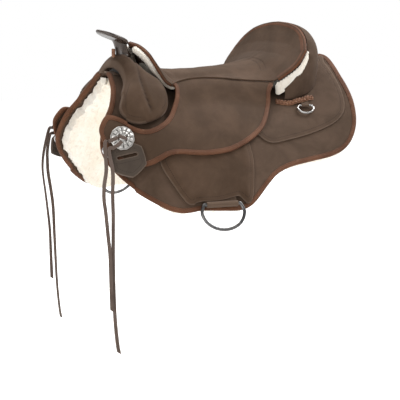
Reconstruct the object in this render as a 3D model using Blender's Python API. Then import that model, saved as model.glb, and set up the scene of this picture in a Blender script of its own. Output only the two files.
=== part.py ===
"""Treeless saddle with a horn, modelled at real size.

The frame: +X points to the back of the saddle, +Z up, and the plane Y = 0 divides it
into its near side (-Y) and its far side (+Y). The origin is on the back line of the
horse, under the middle of the seat.

Everything that lies on the horse is placed on one curved form, the flank. A place on
it is (x, s, n): x along the back, s the distance down from the back line measured
along the flank, and n the height above the flank. Layers are slabs between two
heights, so they nest without touching.
"""
import math

import bmesh
import bpy
import numpy as np
from mathutils import Matrix, Vector
from mathutils.geometry import delaunay_2d_cdt

MM = 0.001
CLEAR = 0.3 * MM
NEAR, FAR = -1, 1

# The flank: the back line of the horse and how the ribs turn down from it
HALF_LENGTH = 300 * MM
SKIRT_DROP = 320 * MM
WITHERS_RISE = 30 * MM
LOIN_RISE = 62 * MM
RIDGE_TURN_FRONT, RIDGE_TURN_REAR = 30 * MM, 80 * MM
RIB_TURN_FRONT, RIB_TURN_REAR = 220 * MM, 340 * MM
RIDGE_SLOPE_FRONT, RIDGE_SLOPE_REAR = math.radians(40), math.radians(14)
RIB_SLOPE_FRONT, RIB_SLOPE_REAR = math.radians(66), math.radians(52)
BACK_SPAN = 280 * MM
FACET_X_SHARES = [-1.28, -1.14, -1.02, -0.90, -0.78, -0.66, -0.55, -0.433, -0.233, -0.05, 0.15,
                  0.35, 0.55, 0.72, 0.86, 1.0]
FACET_S_SHARES = [0.0, 0.045, 0.10, 0.20, 0.34, 0.50, 0.67, 0.85, 1.06, 1.25]
SHOULDER_START, SHOULDER_RUN = -215 * MM, 165 * MM
SHOULDER_TAPER = 0.32
STEP = 1 * MM

# Layers on the flank, from the horse outwards
FLEECE_PILE = 12 * MM
PANEL_FELT = 10 * MM
SKIRT_LEATHER = 4 * MM
REAR_PAD_RISE = 3.5 * MM
RIGGING_COVER_RISE = 9 * MM
JOCKEY_LEATHER = 3.5 * MM
JOCKEY_STAND = 12 * MM
JOCKEY_STAND_REAR = 8 * MM
JOCKEY_EASE = 80 * MM
SEAM_FALL, SEAM_GAP = 58 * MM, 1.6 * MM
SPINE_WEB = 2 * MM
WEBBING_THICK = 1.3 * MM
SPINE_GAP = 6 * MM
FLEECE_INSET = 2.5 * MM
FELT_INSET = 14 * MM

FELT_UNDER = FLEECE_PILE + CLEAR
SKIRT_UNDER = FELT_UNDER + PANEL_FELT + CLEAR
SKIRT_TOP = SKIRT_UNDER + SKIRT_LEATHER
ON_SKIRT = SKIRT_TOP + CLEAR
REAR_PAD_TOP = ON_SKIRT + REAR_PAD_RISE
ON_WEB = ON_SKIRT + SPINE_WEB + CLEAR
SEAT_FOAM_STAND = 2 * MM
SEAT_UNDER = ON_WEB + WEBBING_THICK + SEAT_FOAM_STAND

# Edge binding: a folded strip whose lips are skived thin, over an edge skived as well
BINDING_LEATHER = 1.3 * MM
BINDING_LIP = 5 * MM
EDGE_SKIVE, EDGE_SKIVE_RUN = 0.9 * MM, 16 * MM
SEAT_SKIVE, JOCKEY_SKIVE = 0.9 * MM, 1.2 * MM

# Fork, its inner arch, and the horn
ARCH_PLATE = 6 * MM
ARCH_INSET = 9 * MM
FORK_EDGE = 7 * MM
FORK_CROWN_TOP, FORK_CROWN_SIDE, FORK_CROWN_FOOT = 27 * MM, 22 * MM, 9 * MM
FORK_SHOULDER = 24 * MM
FORK_SIDE_RUN, FORK_FOOT_START, FORK_FOOT_RUN = 64 * MM, 70 * MM, 70 * MM
HORN_X = -0.79333 * HALF_LENGTH
HORN_NECK_RADIUS = 14.5 * MM
HORN_FLARE_RADIUS = 17 * MM
HORN_HEIGHT = 43 * MM
HORN_LEAN = 9 * MM
HORN_CAP_HALF_LENGTH, HORN_CAP_HALF_WIDTH = 36 * MM, 32 * MM
HORN_CAP_THICK = 8 * MM
HORN_CAP_TILT = math.radians(17)
HORN_BOLT_RADIUS = 5 * MM
HORN_BOLT_HEAD_RADIUS = 9 * MM
HORN_BOLT_HEAD = 5 * MM
LACE_TAB_WIDTH, LACE_TAB_THICK, LACE_TAB_HEIGHT = 10 * MM, 3 * MM, 13 * MM

# Seat: its half width and its height at the cantle's rim, and what lies under its leather
SEAT_HALF_WIDTH = 142 * MM
CANTLE_HEIGHT = 154 * MM
SEAT_LEATHER = 3 * MM
SEAT_FLOOR_INSET = 14 * MM
SEAT_FLEECE_RADIUS, SEAT_FLEECE_BACK = 5 * MM, 7.5 * MM
SEAT_FLEECE_START_SHARE = 0.25
CANTLE_FLEECE_HALF_HEIGHT, CANTLE_FLEECE_HALF_THICK = 12 * MM, 5 * MM
CANTLE_FLEECE_GAP = 2 * MM
SEAT_CROWN_POWER = 1.25
SEAT_STEP_SHARE = 0.03
SEAT_ROW_SHARES = [0.0, 0.07, 0.14, 0.22, 0.30, 0.38, 0.46, 0.54, 0.62, 0.70, 0.78, 0.86, 0.93, 1.0]
SEAM_END_SHARE = 0.70
RIM_CORNER_COUNT = 5
RIM_TURN = math.radians(60)
NEARBY_SHARE = 0.01

# The four edges of the seat and its centre line, as shares of (HALF_LENGTH,
# SEAT_HALF_WIDTH, CANTLE_HEIGHT); the centre line leaves out the width
SEAT_FRONT_SHARES = [(-0.735, 0.000, 0.747), (-0.693, 0.141, 0.701), (-0.650, 0.282, 0.584),
                     (-0.610, 0.408, 0.390), (-0.587, 0.535, 0.247), (-0.573, 0.669, 0.188)]
SEAT_SEAM_SHARES = [(-0.573, 0.669, 0.188), (-0.493, 0.606, 0.227), (-0.403, 0.570, 0.253),
                    (-0.280, 0.556, 0.260), (-0.153, 0.577, 0.247), (-0.030, 0.634, 0.221),
                    (0.133, 0.725, 0.201), (0.227, 0.796, 0.201)]
CANTLE_RIM_SHARES = [(0.507, 0.000, 1.000), (0.503, 0.211, 0.987), (0.500, 0.430, 0.955),
                     (0.490, 0.641, 0.896), (0.467, 0.845, 0.779), (0.430, 0.993, 0.617),
                     (0.357, 1.000, 0.435), (0.287, 0.908, 0.299), (0.227, 0.796, 0.201)]
CENTRE_LINE_SHARES = [(-0.735, 0.747), (-0.683, 0.571), (-0.620, 0.429), (-0.533, 0.364),
                      (-0.400, 0.351), (-0.233, 0.357), (-0.067, 0.377), (0.100, 0.409),
                      (0.250, 0.468), (0.367, 0.571), (0.440, 0.714), (0.487, 0.883),
                      (0.507, 1.000)]

# Cantle: its foot on the skirt as shares of (HALF_LENGTH, SKIRT_DROP), its shell and core
CANTLE_FOOT_SHARES = [(0.717, 0.000), (0.710, 0.100), (0.690, 0.200), (0.643, 0.287),
                      (0.583, 0.350), (0.507, 0.384), (0.420, 0.391), (0.327, 0.372),
                      (0.247, 0.338)]
CANTLE_BULGE = 32 * MM
CANTLE_FOOT_BULGE = 8 * MM
CANTLE_FULL_HEIGHT = 90 * MM
CANTLE_LEATHER = 3 * MM
CANTLE_CORE = 6 * MM
CANTLE_FOOT_LIFT = 2.4 * MM

# Outlines on the flank, as (share of HALF_LENGTH, share of SKIRT_DROP)
SKIRT_SHARES = [(-0.955, 0.010), (-0.960, 0.080), (-0.972, 0.170), (-1.015, 0.300),
                (-1.072, 0.410), (-1.112, 0.520), (-1.125, 0.610), (-1.098, 0.685),
                (-1.045, 0.745), (-0.990, 0.795), (-0.900, 0.868), (-0.830, 0.920),
                (-0.765, 0.965), (-0.700, 0.988), (-0.625, 0.990), (-0.545, 0.984),
                (-0.400, 1.003), (-0.290, 1.018), (-0.225, 1.010), (-0.160, 0.978),
                (-0.050, 0.895), (0.027, 0.846), (0.112, 0.823), (0.210, 0.823),
                (0.330, 0.840), (0.471, 0.865), (0.570, 0.862), (0.650, 0.820),
                (0.715, 0.741), (0.765, 0.618), (0.793, 0.493), (0.815, 0.379),
                (0.850, 0.250), (0.885, 0.120), (0.895, 0.010)]
REAR_PAD_SHARES = [(-0.060, 0.300), (-0.080, 0.450), (-0.073, 0.543), (-0.010, 0.567),
                   (0.025, 0.610), (0.085, 0.641), (0.200, 0.652), (0.395, 0.671),
                   (0.545, 0.678), (0.635, 0.660), (0.692, 0.612), (0.735, 0.508),
                   (0.775, 0.350), (0.810, 0.200), (0.830, 0.080), (0.300, 0.075),
                   (0.000, 0.140)]
RIGGING_COVER_SHARES = [(-0.740, 0.540), (-0.765, 0.662), (-0.727, 0.787), (-0.673, 0.896),
                        (-0.640, 0.940), (-0.603, 0.948), (-0.570, 0.928), (-0.430, 0.928),
                        (-0.290, 0.928), (-0.255, 0.965), (-0.232, 0.992), (-0.205, 0.985),
                        (-0.172, 0.932), (-0.123, 0.777), (-0.105, 0.667), (-0.140, 0.560),
                        (-0.430, 0.500)]
JOCKEY_SHARES = [(-0.555, 0.200), (-0.560, 0.250), (-0.589, 0.306), (-0.644, 0.378),
                 (-0.693, 0.418), (-0.771, 0.461), (-0.832, 0.471), (-0.891, 0.451),
                 (-0.963, 0.413), (-1.025, 0.398), (-1.077, 0.408), (-1.115, 0.456),
                 (-1.136, 0.506), (-1.125, 0.555), (-1.100, 0.600), (-1.070, 0.640),
                 (-1.020, 0.672), (-0.950, 0.690), (-0.880, 0.693), (-0.818, 0.683),
                 (-0.765, 0.657), (-0.701, 0.628), (-0.617, 0.626), (-0.489, 0.643),
                 (-0.385, 0.649), (-0.253, 0.643), (-0.114, 0.606), (-0.003, 0.556),
                 (0.070, 0.499), (0.130, 0.430), (0.173, 0.370), (0.200, 0.320)]
FORK_SHARES = [(-0.800, 0.000), (-0.790, 0.025), (-0.745, 0.062), (-0.690, 0.105),
               (-0.640, 0.150), (-0.620, 0.225), (-0.631, 0.295), (-0.664, 0.355),
               (-0.735, 0.400), (-0.825, 0.428), (-0.895, 0.424), (-0.948, 0.396),
               (-0.972, 0.355), (-0.966, 0.312), (-0.932, 0.235), (-0.895, 0.151),
               (-0.890, 0.085), (-0.905, 0.035), (-0.915, 0.000)]
WEB_SHARES = [(-0.915, 0.055), (-0.5, 0.055), (0.0, 0.055), (0.4, 0.055), (0.800, 0.030)]
PLAITED_STRAP_SHARES = [(0.240, 0.362), (0.290, 0.392), (0.345, 0.414), (0.430, 0.430),
                        (0.516, 0.440)]
PLAITED_STRAP_WIDTH = 11 * MM
PLAITED_STRAP_THICK = 3.5 * MM

# Rigging: ring, and the strap that folds round its bar
RIGGING_X, RIGGING_S = -0.41833 * HALF_LENGTH, 0.971875 * SKIRT_DROP
RING_WIRE = 3.5 * MM
RING_BAR_HALF = 38.5 * MM
RING_HALF_WIDTH = 44.5 * MM
RING_DROP = 53 * MM
RING_SHOULDER_SHARE = 0.28
RIGGING_STRAP_THICK = 2.5 * MM
RIGGING_STRAP_HALF = 33 * MM
RIGGING_STRAP_RUN = 125 * MM
RIGGING_STANDOFF = 2.6 * MM
COVER_RAMP, COVER_GAP = 8 * MM, 1.1 * MM

# Dees: small rings with their keepers
REAR_DEE_X, REAR_DEE_S = 0.42333 * HALF_LENGTH, 0.48125 * SKIRT_DROP
FRONT_DEE_X, FRONT_DEE_S = -1.06 * HALF_LENGTH, 0.584375 * SKIRT_DROP
DEE_WIRE = 2.1 * MM
DEE_BAR_HALF, DEE_HALF_WIDTH = 12 * MM, 17 * MM
DEE_DROP = 22 * MM
KEEPER_LEATHER = 1.6 * MM
KEEPER_HALF_WIDTH = 8 * MM
KEEPER_RUN = 22 * MM
DEE_STANDOFF = 0.9 * MM

# Concho, hanger tab and strings
CONCHO_X, CONCHO_S = -0.99 * HALF_LENGTH, 0.540625 * SKIRT_DROP
CONCHO_RADIUS = 24.5 * MM
CONCHO_RIM = 1.6 * MM
CONCHO_DOME = 5.5 * MM
CONCHO_SCALLOP = 0.7 * MM
CONCHO_SCALLOPS = 12
CONCHO_SLOT_OFFSET = 8 * MM
CONCHO_SLOT_LENGTH = 13 * MM
CONCHO_SLOT_WIDTH = 3.4 * MM
CONCHO_POST_RADIUS = 3 * MM
TAB_LEATHER = 4.5 * MM
TAB_RADIUS = 38 * MM
TAB_SCALLOP = 3.5 * MM
TAB_NECK = 14 * MM
TAB_NECK_TURN = math.radians(26)
TAB_CORNER_TURN = math.radians(-114)
TAB_PIVOT_RUN = 43 * MM
TAB_SLOT_LENGTH, TAB_SLOT_WIDTH = 42 * MM, 6.2 * MM
TAB_SLOT_RISE = 6 * MM
LACE_RADIUS = 2.5 * MM
LACE_STEP = 17 * MM
LACE_DROP = 500 * MM

# Laces: where each leaves the concho, as shares of its radius, and how it then hangs,
# as shares of (HALF_LENGTH, SEAT_HALF_WIDTH, LACE_DROP)
LACE_START_SHARES = {
    "front": [(-0.40, 0.10), (-0.70, 0.28), (-1.05, 0.52), (-1.33, 0.75)],
    "rear": [(-0.05, 0.36), (-0.28, 0.66), (-0.62, 0.98), (-0.96, 1.22)],
}
LACE_FALL_SHARES = {
    "front": [(-1.175, 1.130, -0.246), (-1.190, 1.125, -0.310), (-1.189, 1.105, -0.366),
              (-1.178, 1.105, -0.420), (-1.163, 1.100, -0.510), (-1.150, 1.100, -0.600),
              (-1.146, 1.100, -0.720), (-1.143, 1.100, -0.820)],
    "rear": [(-1.140, 1.170, -0.246), (-1.140, 1.182, -0.290), (-1.140, 1.165, -0.345),
             (-1.128, 1.120, -0.430), (-1.122, 1.085, -0.504), (-1.120, 1.065, -0.650),
             (-1.112, 1.055, -0.840), (-1.096, 1.055, -0.960), (-1.084, 1.055, -1.004)],
}

# Stirrup webbing and its slotted plates, under the jockeys
STIRRUP_X, STIRRUP_S = -0.33333 * HALF_LENGTH, 0.325 * SKIRT_DROP
WEBBING_HALF = 22 * MM
PLATE_HALF_WIDTH, PLATE_DROP, PLATE_THICK = 29 * MM, 27 * MM, 2.5 * MM
PLATE_BAR = 8 * MM
PLATE_GAP = 0.9 * MM

# Mesh fineness
MEDIUM = 26 * MM
FINE = 15 * MM
INTEGRAL_STEPS = 14
STRAP_STEPS = 4
NEAREST_POINTS = 2.5 * MM


def colour(name, rgb, roughness, metallic=0.0):
    """A plain principled material."""
    material = bpy.data.materials.new(name)
    material.use_nodes = True
    shader = material.node_tree.nodes["Principled BSDF"]
    shader.inputs["Base Color"].default_value = (*rgb, 1)
    shader.inputs["Roughness"].default_value = roughness
    shader.inputs["Metallic"].default_value = metallic
    material.diffuse_color = (*rgb, 1)
    return material


def smooth(share):
    share = np.clip(share, 0, 1)
    return share * share * (3 - 2 * share)


def slope(x, s):
    """How steeply the flank falls at x, s down from the back line."""
    along = np.clip((x + BACK_SPAN) / (2 * BACK_SPAN), 0, 1)
    ridge_turn = RIDGE_TURN_FRONT + (RIDGE_TURN_REAR - RIDGE_TURN_FRONT) * along
    rib_turn = RIB_TURN_FRONT + (RIB_TURN_REAR - RIB_TURN_FRONT) * along
    ridge = RIDGE_SLOPE_FRONT + (RIDGE_SLOPE_REAR - RIDGE_SLOPE_FRONT) * along
    rib = RIB_SLOPE_FRONT + (RIB_SLOPE_REAR - RIB_SLOPE_FRONT) * along
    return ridge * smooth(s / ridge_turn) + (rib - ridge) * smooth(s / rib_turn)


def back_line(x):
    """Height of the horse's back line."""
    rise = WITHERS_RISE if x < 0 else LOIN_RISE
    return rise * (x / BACK_SPAN) ** 2


def hide(x, s):
    """The point of the horse's side at x, s down from the back line."""
    steps = (np.arange(INTEGRAL_STEPS) + 0.5) * s / INTEGRAL_STEPS
    turns = slope(x, steps)
    out = float(np.cos(turns).mean()) * s
    down = float(np.sin(turns).mean()) * s
    narrow = 1 - SHOULDER_TAPER * float(smooth((SHOULDER_START - x) / SHOULDER_RUN))
    return np.array((x, narrow * out, back_line(x) - down))


def hide_normal(x, s):
    """The unit direction that points out of the horse's side."""
    along = hide(x + STEP, s) - hide(x - STEP, s)
    down = hide(x, s + STEP) - hide(x, s - STEP) if s > STEP else np.array((0.0, 1.0, 0.0))
    out = np.cross(along, down)
    return out / np.linalg.norm(out)


FACET_X = np.array(FACET_X_SHARES) * HALF_LENGTH
FACET_S = np.array(FACET_S_SHARES) * SKIRT_DROP
FACET_PLACES = np.array([[hide(x, s) for s in FACET_S] for x in FACET_X])
FACET_NORMALS = np.array([[hide_normal(x, s) for s in FACET_S] for x in FACET_X])


def flank(x, s, n):
    """The point at (x, s, n); a negative s is on the near side.

    The flank is made of flat facets, so that every layer on it bends at the same lines.
    """
    reach = abs(s)
    i = min(max(int(np.searchsorted(FACET_X, x)) - 1, 0), len(FACET_X) - 2)
    j = min(max(int(np.searchsorted(FACET_S, reach)) - 1, 0), len(FACET_S) - 2)
    a = (x - FACET_X[i]) / (FACET_X[i + 1] - FACET_X[i])
    b = (reach - FACET_S[j]) / (FACET_S[j + 1] - FACET_S[j])
    if a + b <= 1:
        parts = ((i, j, 1 - a - b), (i + 1, j, a), (i, j + 1, b))
    else:
        parts = ((i + 1, j + 1, a + b - 1), (i, j + 1, 1 - a), (i + 1, j, 1 - b))
    here = sum(w * (FACET_PLACES[k, m] + n * FACET_NORMALS[k, m]) for k, m, w in parts)
    return Vector((here[0], -here[1] if s < 0 else here[1], here[2]))


def reach_of(x, y, n):
    """The s at which the flank's layer n lies over the plan point (x, y)."""
    low, high = 0.0, 2 * SKIRT_DROP
    for _ in range(24):
        middle = (low + high) / 2
        if flank(x, middle, n).y < abs(y):
            low = middle
        else:
            high = middle
    return math.copysign((low + high) / 2, y if y else 1)


def axes_at(x, s, n, side):
    """The point on the flank, with its unit axes back, down and out."""
    here = flank(x, side * s, n)
    out = Vector(hide_normal(x, s))
    back = Vector(hide(x + STEP, s) - hide(x - STEP, s))
    out.y, back.y = side * out.y, side * back.y
    back = (back - back.dot(out) * out).normalized()
    down = back.cross(out)
    down = -down if down.z > 0 else down
    return here, back, down, out


def facet_axes(x, s, n, side):
    """The point on the flank, with the unit axes of the flat facet it is on."""
    here = flank(x, side * s, n)
    back = (flank(x + STEP, side * s, n) - here).normalized()
    out = back.cross(flank(x, side * (s + STEP), n) - here).normalized()
    out = -out if out.z < 0 else out
    down = back.cross(out)
    return here, back, (-down if down.z > 0 else down), out


def level_axes(x, s, n, side):
    """The same axes, turned in the flank's plane until the one that points back is level."""
    here, _, _, out = axes_at(x, s, n, side)
    back = Vector((-out.y, out.x, 0)).normalized()
    if back.x < 0:
        back = -back
    down = back.cross(out)
    return here, back, (-down if down.z > 0 else down), out


def off_flank(place):
    """The (x, s, n) of a point on the far side, found by walking towards it."""
    x, s, n = place[0], max(2 * STEP, place[1]), ON_SKIRT
    for _ in range(24):
        here, back, down, out = axes_at(x, s, n, FAR)
        gap = Vector(place) - here
        x, s, n = x + gap.dot(back), max(2 * STEP, s + gap.dot(down)), n + gap.dot(out)
    return x, s, n


def in_axes(axes):
    """A function from (back, down, out) lengths to world points."""
    here, back, down, out = axes
    return lambda a, b, c: here + back * a + down * b + out * c


def highest(x, reach, height):
    """The highest z that a layer has within a reach of the centre line at x."""
    found = []
    window = 2 * reach + height(x, 0.0)
    for place in np.linspace(x - window, x + window, 241):
        for s in np.linspace(0, 2 * reach, 13):
            here = flank(place, s, height(place, s))
            if math.hypot(here.x - x, here.y) <= reach:
                found.append(here.z)
    return max(found)


def spline(points, count, closed=False):
    """Points spaced evenly along a smooth curve through the given ones."""
    given = np.array(points, float)
    if closed:
        ends = np.vstack([given[-1], given, given[0], given[1]])
    else:
        first, last = 2 * given[0] - given[1], 2 * given[-1] - given[-2]
        ends = np.vstack([first, given, last])
    dense = []
    for a, b, c, d in zip(ends, ends[1:], ends[2:], ends[3:]):
        for t in np.linspace(0, 1, 12, endpoint=False):
            dense.append(0.5 * (2 * b + (c - a) * t + (2 * a - 5 * b + 4 * c - d) * t ** 2
                                + (3 * b - a - 3 * c + d) * t ** 3))
    dense.append(given[0] if closed else given[-1])
    dense = np.array(dense)
    along = np.concatenate([[0], np.cumsum(np.linalg.norm(np.diff(dense, axis=0), axis=1))])
    at = np.linspace(0, along[-1], count + 1 if closed else count)
    found = np.stack([np.interp(at, along, dense[:, k]) for k in range(dense.shape[1])], 1)
    return found[:-1] if closed else found


def outline_of(shares, count, closed=False):
    """A smooth outline on the flank, in metres, from its shares."""
    sized = [(a * HALF_LENGTH, b * SKIRT_DROP) for a, b in shares]
    return spline(sized, count, closed)


def fold_lines(p, q):
    """Shares of the way from p to q at which the flank's facets change."""
    p, q = np.array(p), np.array(q)
    i, k = np.searchsorted(FACET_X, sorted((p[0], q[0])))
    j, m = np.searchsorted(FACET_S, sorted((abs(p[1]), abs(q[1]))))
    found = [(x - p[0]) / (q[0] - p[0]) for x in FACET_X[i:k]]
    found += [(s - abs(p[1])) / (abs(q[1]) - abs(p[1])) for s in FACET_S[j:m]]
    for c in range(max(i - 1, 0), min(k, len(FACET_X) - 1)):
        for d in range(max(j - 1, 0), min(m, len(FACET_S) - 1)):
            ends = [(v[0] - FACET_X[c]) / (FACET_X[c + 1] - FACET_X[c])
                    + (abs(v[1]) - FACET_S[d]) / (FACET_S[d + 1] - FACET_S[d]) - 1
                    for v in (p, q)]
            if ends[0] * ends[1] < 0:
                share = ends[0] / (ends[0] - ends[1])
                x, s = p + share * (q - p)
                if (FACET_X[c] <= x <= FACET_X[c + 1]
                        and FACET_S[d] <= abs(s) <= FACET_S[d + 1]):
                    found.append(share)
    return sorted(found)


def settle(path, closed=False):
    """The path with a point wherever it meets a fold of the flank, and none too close."""
    ends = np.vstack([path, path[:1]]) if closed else path
    found = [ends[0]]
    for p, q in zip(ends, ends[1:]):
        for share in fold_lines(p, q) + [1.0]:
            place = p + share * (q - p)
            if np.linalg.norm(place - found[-1]) > NEAREST_POINTS:
                found.append(place)
            elif share < 1.0 and len(found) > 1:
                found[-1] = place
    if closed and np.linalg.norm(found[-1] - found[0]) <= NEAREST_POINTS:
        found.pop()
    return np.array(found)


def facet_net(low, high):
    """The flank's folds near an outline, as places and edges between them."""
    columns = [k for k in range(len(FACET_X)) if low[0] - HALF_LENGTH < FACET_X[k]
               < high[0] + HALF_LENGTH]
    count = len(FACET_S)
    ranks = [k for k in range(1 - count if low[1] < 0 else 0, count)]
    index, places, edges = {}, [], []
    for i in columns:
        for j in ranks:
            index[i, j] = len(places)
            places.append((FACET_X[i], math.copysign(FACET_S[abs(j)], j)))
    for i, j in index:
        toward = -1 if j < 0 else 1
        for k, m in ((i + 1, j), (i, j + 1), (i - 1, j + toward)):
            if (k, m) in index:
                edges.append((index[i, j], index[k, m]))
        if j == 0 and (i - 1, -1) in index:
            edges.append((index[i, j], index[i - 1, -1]))
    return places, edges


def inset(outline, distance, closed=True):
    """The outline moved to its inner side by a distance."""
    ahead, behind = np.roll(outline, -1, axis=0), np.roll(outline, 1, axis=0)
    if not closed:
        ahead[-1], behind[0] = outline[-1], outline[0]
    along = ahead - behind
    along /= np.linalg.norm(along, axis=1)[:, None]
    normal = np.stack([-along[:, 1], along[:, 0]], 1)
    if area_of(outline) < 0:
        normal = -normal
    return outline + normal * distance


def area_of(outline):
    x, y = outline[:, 0], outline[:, 1]
    return float((x * np.roll(y, -1) - np.roll(x, -1) * y).sum() / 2)


def distance_to(outline, points):
    """How far each point lies inside the outline; negative outside it."""
    a, b = outline, np.roll(outline, -1, axis=0)
    found = np.full(len(points), np.inf)
    inside = np.zeros(len(points), bool)
    for p, q in zip(a, b):
        run = q - p
        share = np.clip(((points - p) @ run) / (run @ run), 0, 1)
        found = np.minimum(found, np.linalg.norm(points - p - share[:, None] * run, axis=1))
        crosses = (p[1] > points[:, 1]) != (q[1] > points[:, 1])
        rise = np.where(crosses, q[1] - p[1], 1)
        inside ^= crosses & (points[:, 0] < p[0] + run[0] * (points[:, 1] - p[1]) / rise)
    return np.where(inside, found, -found)


def inner_points(outline, spacing):
    """A staggered grid of points inside the outline, clear of its edge."""
    low, high = outline.min(0), outline.max(0)
    rows = []
    for k in range(int((high[1] - low[1]) / spacing) + 1):
        shift = 0.5 * spacing * (k % 2)
        for i in range(int((high[0] - low[0]) / spacing) + 1):
            rows.append((low[0] + shift + i * spacing, low[1] + (k + 0.5) * spacing))
    points = np.array(rows)
    return points[distance_to(outline, points) > 0.45 * spacing]


def finish_object(name, form, material, pivot=None, crease=40):
    """Closes a bmesh into a named object with its faces pointing out."""
    bmesh.ops.recalc_face_normals(form, faces=form.faces)
    mesh = bpy.data.meshes.new(name)
    if pivot is not None:
        bmesh.ops.translate(form, verts=form.verts, vec=-pivot)
    form.to_mesh(mesh)
    form.free()
    mesh.shade_smooth()
    mesh.set_sharp_from_angle(angle=math.radians(crease))
    mesh.materials.append(material)
    found = bpy.data.objects.new(name, mesh)
    if pivot is not None:
        found.location = pivot
    bpy.context.scene.collection.objects.link(found)
    return found


def drape(name, outline, under, over, spacing, side, material, skive=0.0, lines=()):
    """A closed slab on the flank inside an outline, between two heights.

    The heights are functions of (x, s), side mirrors the outline's s, and skive thins
    the slab towards its edge. A spacing adds points between the folds of the flank, and
    lines adds folds of the slab's own.
    """
    places, edges = facet_net(outline.min(0), outline.max(0))
    if spacing:
        places += [tuple(p) for p in inner_points(outline, spacing)]
    for line in lines:
        edges += [(len(places) + k, len(places) + k + 1) for k in range(len(line) - 1)]
        places += [tuple(p) for p in line]
    start, count = len(places), len(outline)
    places += [tuple(p) for p in outline]
    edges += [(start + k, start + (k + 1) % count) for k in range(count)]
    flat, _, faces, _, _, _ = delaunay_2d_cdt([Vector(p) for p in places], edges, [], 0, 1e-7)
    middles = np.array([[sum(flat[i][k] for i in f) / len(f) for k in (0, 1)] for f in faces])
    faces = [f for f, inside in zip(faces, distance_to(outline, middles)) if inside > 0]
    used = sorted({i for f in faces for i in f})
    thin = np.zeros(len(used))
    if skive:
        inside = distance_to(outline, np.array([tuple(flat[i]) for i in used]))
        thin = skive * (1 - smooth(inside / EDGE_SKIVE_RUN))
    form = bmesh.new()
    low, high = {}, {}
    for i, less in zip(used, thin):
        x, s = flat[i]
        low[i] = form.verts.new(flank(x, side * s, under(x, s) + less))
        high[i] = form.verts.new(flank(x, side * s, over(x, s) - less))
    for face in faces:
        form.faces.new([high[i] for i in face])
        form.faces.new([low[i] for i in reversed(face)])
    mate = {high[i]: low[i] for i in used}
    for edge in [e for e in form.edges if len(e.link_faces) == 1 and e.verts[0] in mate]:
        a, b = edge.verts
        form.faces.new([a, b, mate[b], mate[a]])
    return finish_object(name, form, material)


def level(height):
    """A height that is the same all over."""
    return lambda x, s: height


def sweep(name, rings, material, closed=False, pivot=None, crease=40, caps=None):
    """A solid through a row of rings that have the same number of points.

    The ends are closed by one face each, or by the given parts of the ring.
    """
    form = bmesh.new()
    rows = [[form.verts.new(p) for p in ring] for ring in rings]
    size = len(rows[0])
    pairs = list(zip(rows, rows[1:]))
    if closed:
        pairs.append((rows[-1], rows[0]))
    else:
        for part in caps or [range(size)]:
            form.faces.new([rows[0][i] for i in part][::-1])
            form.faces.new([rows[-1][i] for i in part])
    for a, b in pairs:
        for i in range(size):
            j = (i + 1) % size
            form.faces.new([a[i], a[j], b[j], b[i]])
    bmesh.ops.triangulate(form, faces=[f for f in form.faces if len(f.verts) > 4],
                          ngon_method="EAR_CLIP")
    return finish_object(name, form, material, pivot, crease)


def slab(name, top, bottom, material):
    """A solid between two grids of points that have the same rows and columns."""
    form = bmesh.new()
    high = [[form.verts.new(p) for p in row] for row in top]
    low = [[form.verts.new(p) for p in row] for row in bottom]
    rows, columns = len(high), len(high[0])
    for i in range(rows - 1):
        for j in range(columns - 1):
            for grid, turn in ((high, 1), (low, -1)):
                a, b, c, d = grid[i][j], grid[i][j + 1], grid[i + 1][j + 1], grid[i + 1][j]
                form.faces.new([a, b, c][::turn])
                form.faces.new([a, c, d][::turn])
    border = [(0, j) for j in range(columns)] + [(i, columns - 1) for i in range(1, rows)]
    border += [(rows - 1, j) for j in range(columns - 2, -1, -1)]
    border += [(i, 0) for i in range(rows - 2, 0, -1)]
    for (i, j), (k, m) in zip(border, border[1:] + border[:1]):
        form.faces.new([high[i][j], low[i][j], low[k][m], high[k][m]])
    return finish_object(name, form, material)


def binding_section(thick):
    """The folded strip round an edge of this thickness, as (out, up) from its middle."""
    slot = thick / 2 + CLEAR
    outer = slot + BINDING_LEATHER
    edge = CLEAR + BINDING_LEATHER
    return [(-BINDING_LIP, slot), (CLEAR, slot), (CLEAR, -slot), (-BINDING_LIP, -slot),
            (edge, -outer), (edge, outer)]


# Parts of that section that close the end of a binding
BINDING_CAPS = ((0, 1, 5), (1, 2, 4, 5), (2, 3, 4))


def bind_flank(name, path, thick, middle, side, material):
    """Binding along an open path on the flank; out is to the path's right of travel."""
    ahead, behind = np.roll(path, -1, axis=0), np.roll(path, 1, axis=0)
    ahead[-1], behind[0] = path[-1], path[0]
    along = ahead - behind
    along /= np.linalg.norm(along, axis=1)[:, None]
    out = np.stack([-along[:, 1], along[:, 0]], 1)
    rings = []
    for (x, s), (ox, os) in zip(path, out):
        rings.append([flank(x + ox * d, side * (s + os * d),
                            middle(x + ox * d, s + os * d) + h)
                      for d, h in binding_section(thick)])
    return sweep(name, rings, material, caps=BINDING_CAPS)


def wire(name, points, radius, material, pivot, closed=True, resolution=2):
    """A round wire along points, as a bevelled curve."""
    data = bpy.data.curves.new(name, "CURVE")
    data.dimensions = "3D"
    data.bevel_depth = radius
    data.bevel_resolution = resolution
    data.use_fill_caps = True
    path = data.splines.new("POLY")
    path.points.add(len(points) - 1)
    for knot, place in zip(path.points, points):
        knot.co = (*(place - pivot), 1)
    path.use_cyclic_u = closed
    path.use_smooth = True
    data.materials.append(material)
    found = bpy.data.objects.new(name, data)
    found.location = pivot
    bpy.context.scene.collection.objects.link(found)
    return found


def dee_path(bar_half, half_width, drop):
    """A dee: straight bar at the top, and legs that spread into a round bow."""
    path = [(bar_half * k, 0) for k in (-1, 0, 1)]
    shoulder = RING_SHOULDER_SHARE * drop
    bow = drop - shoulder
    for k in range(13):
        turn = math.pi * k / 12
        path.append((half_width * math.cos(turn), shoulder + bow * math.sin(turn)))
    return path


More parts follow.
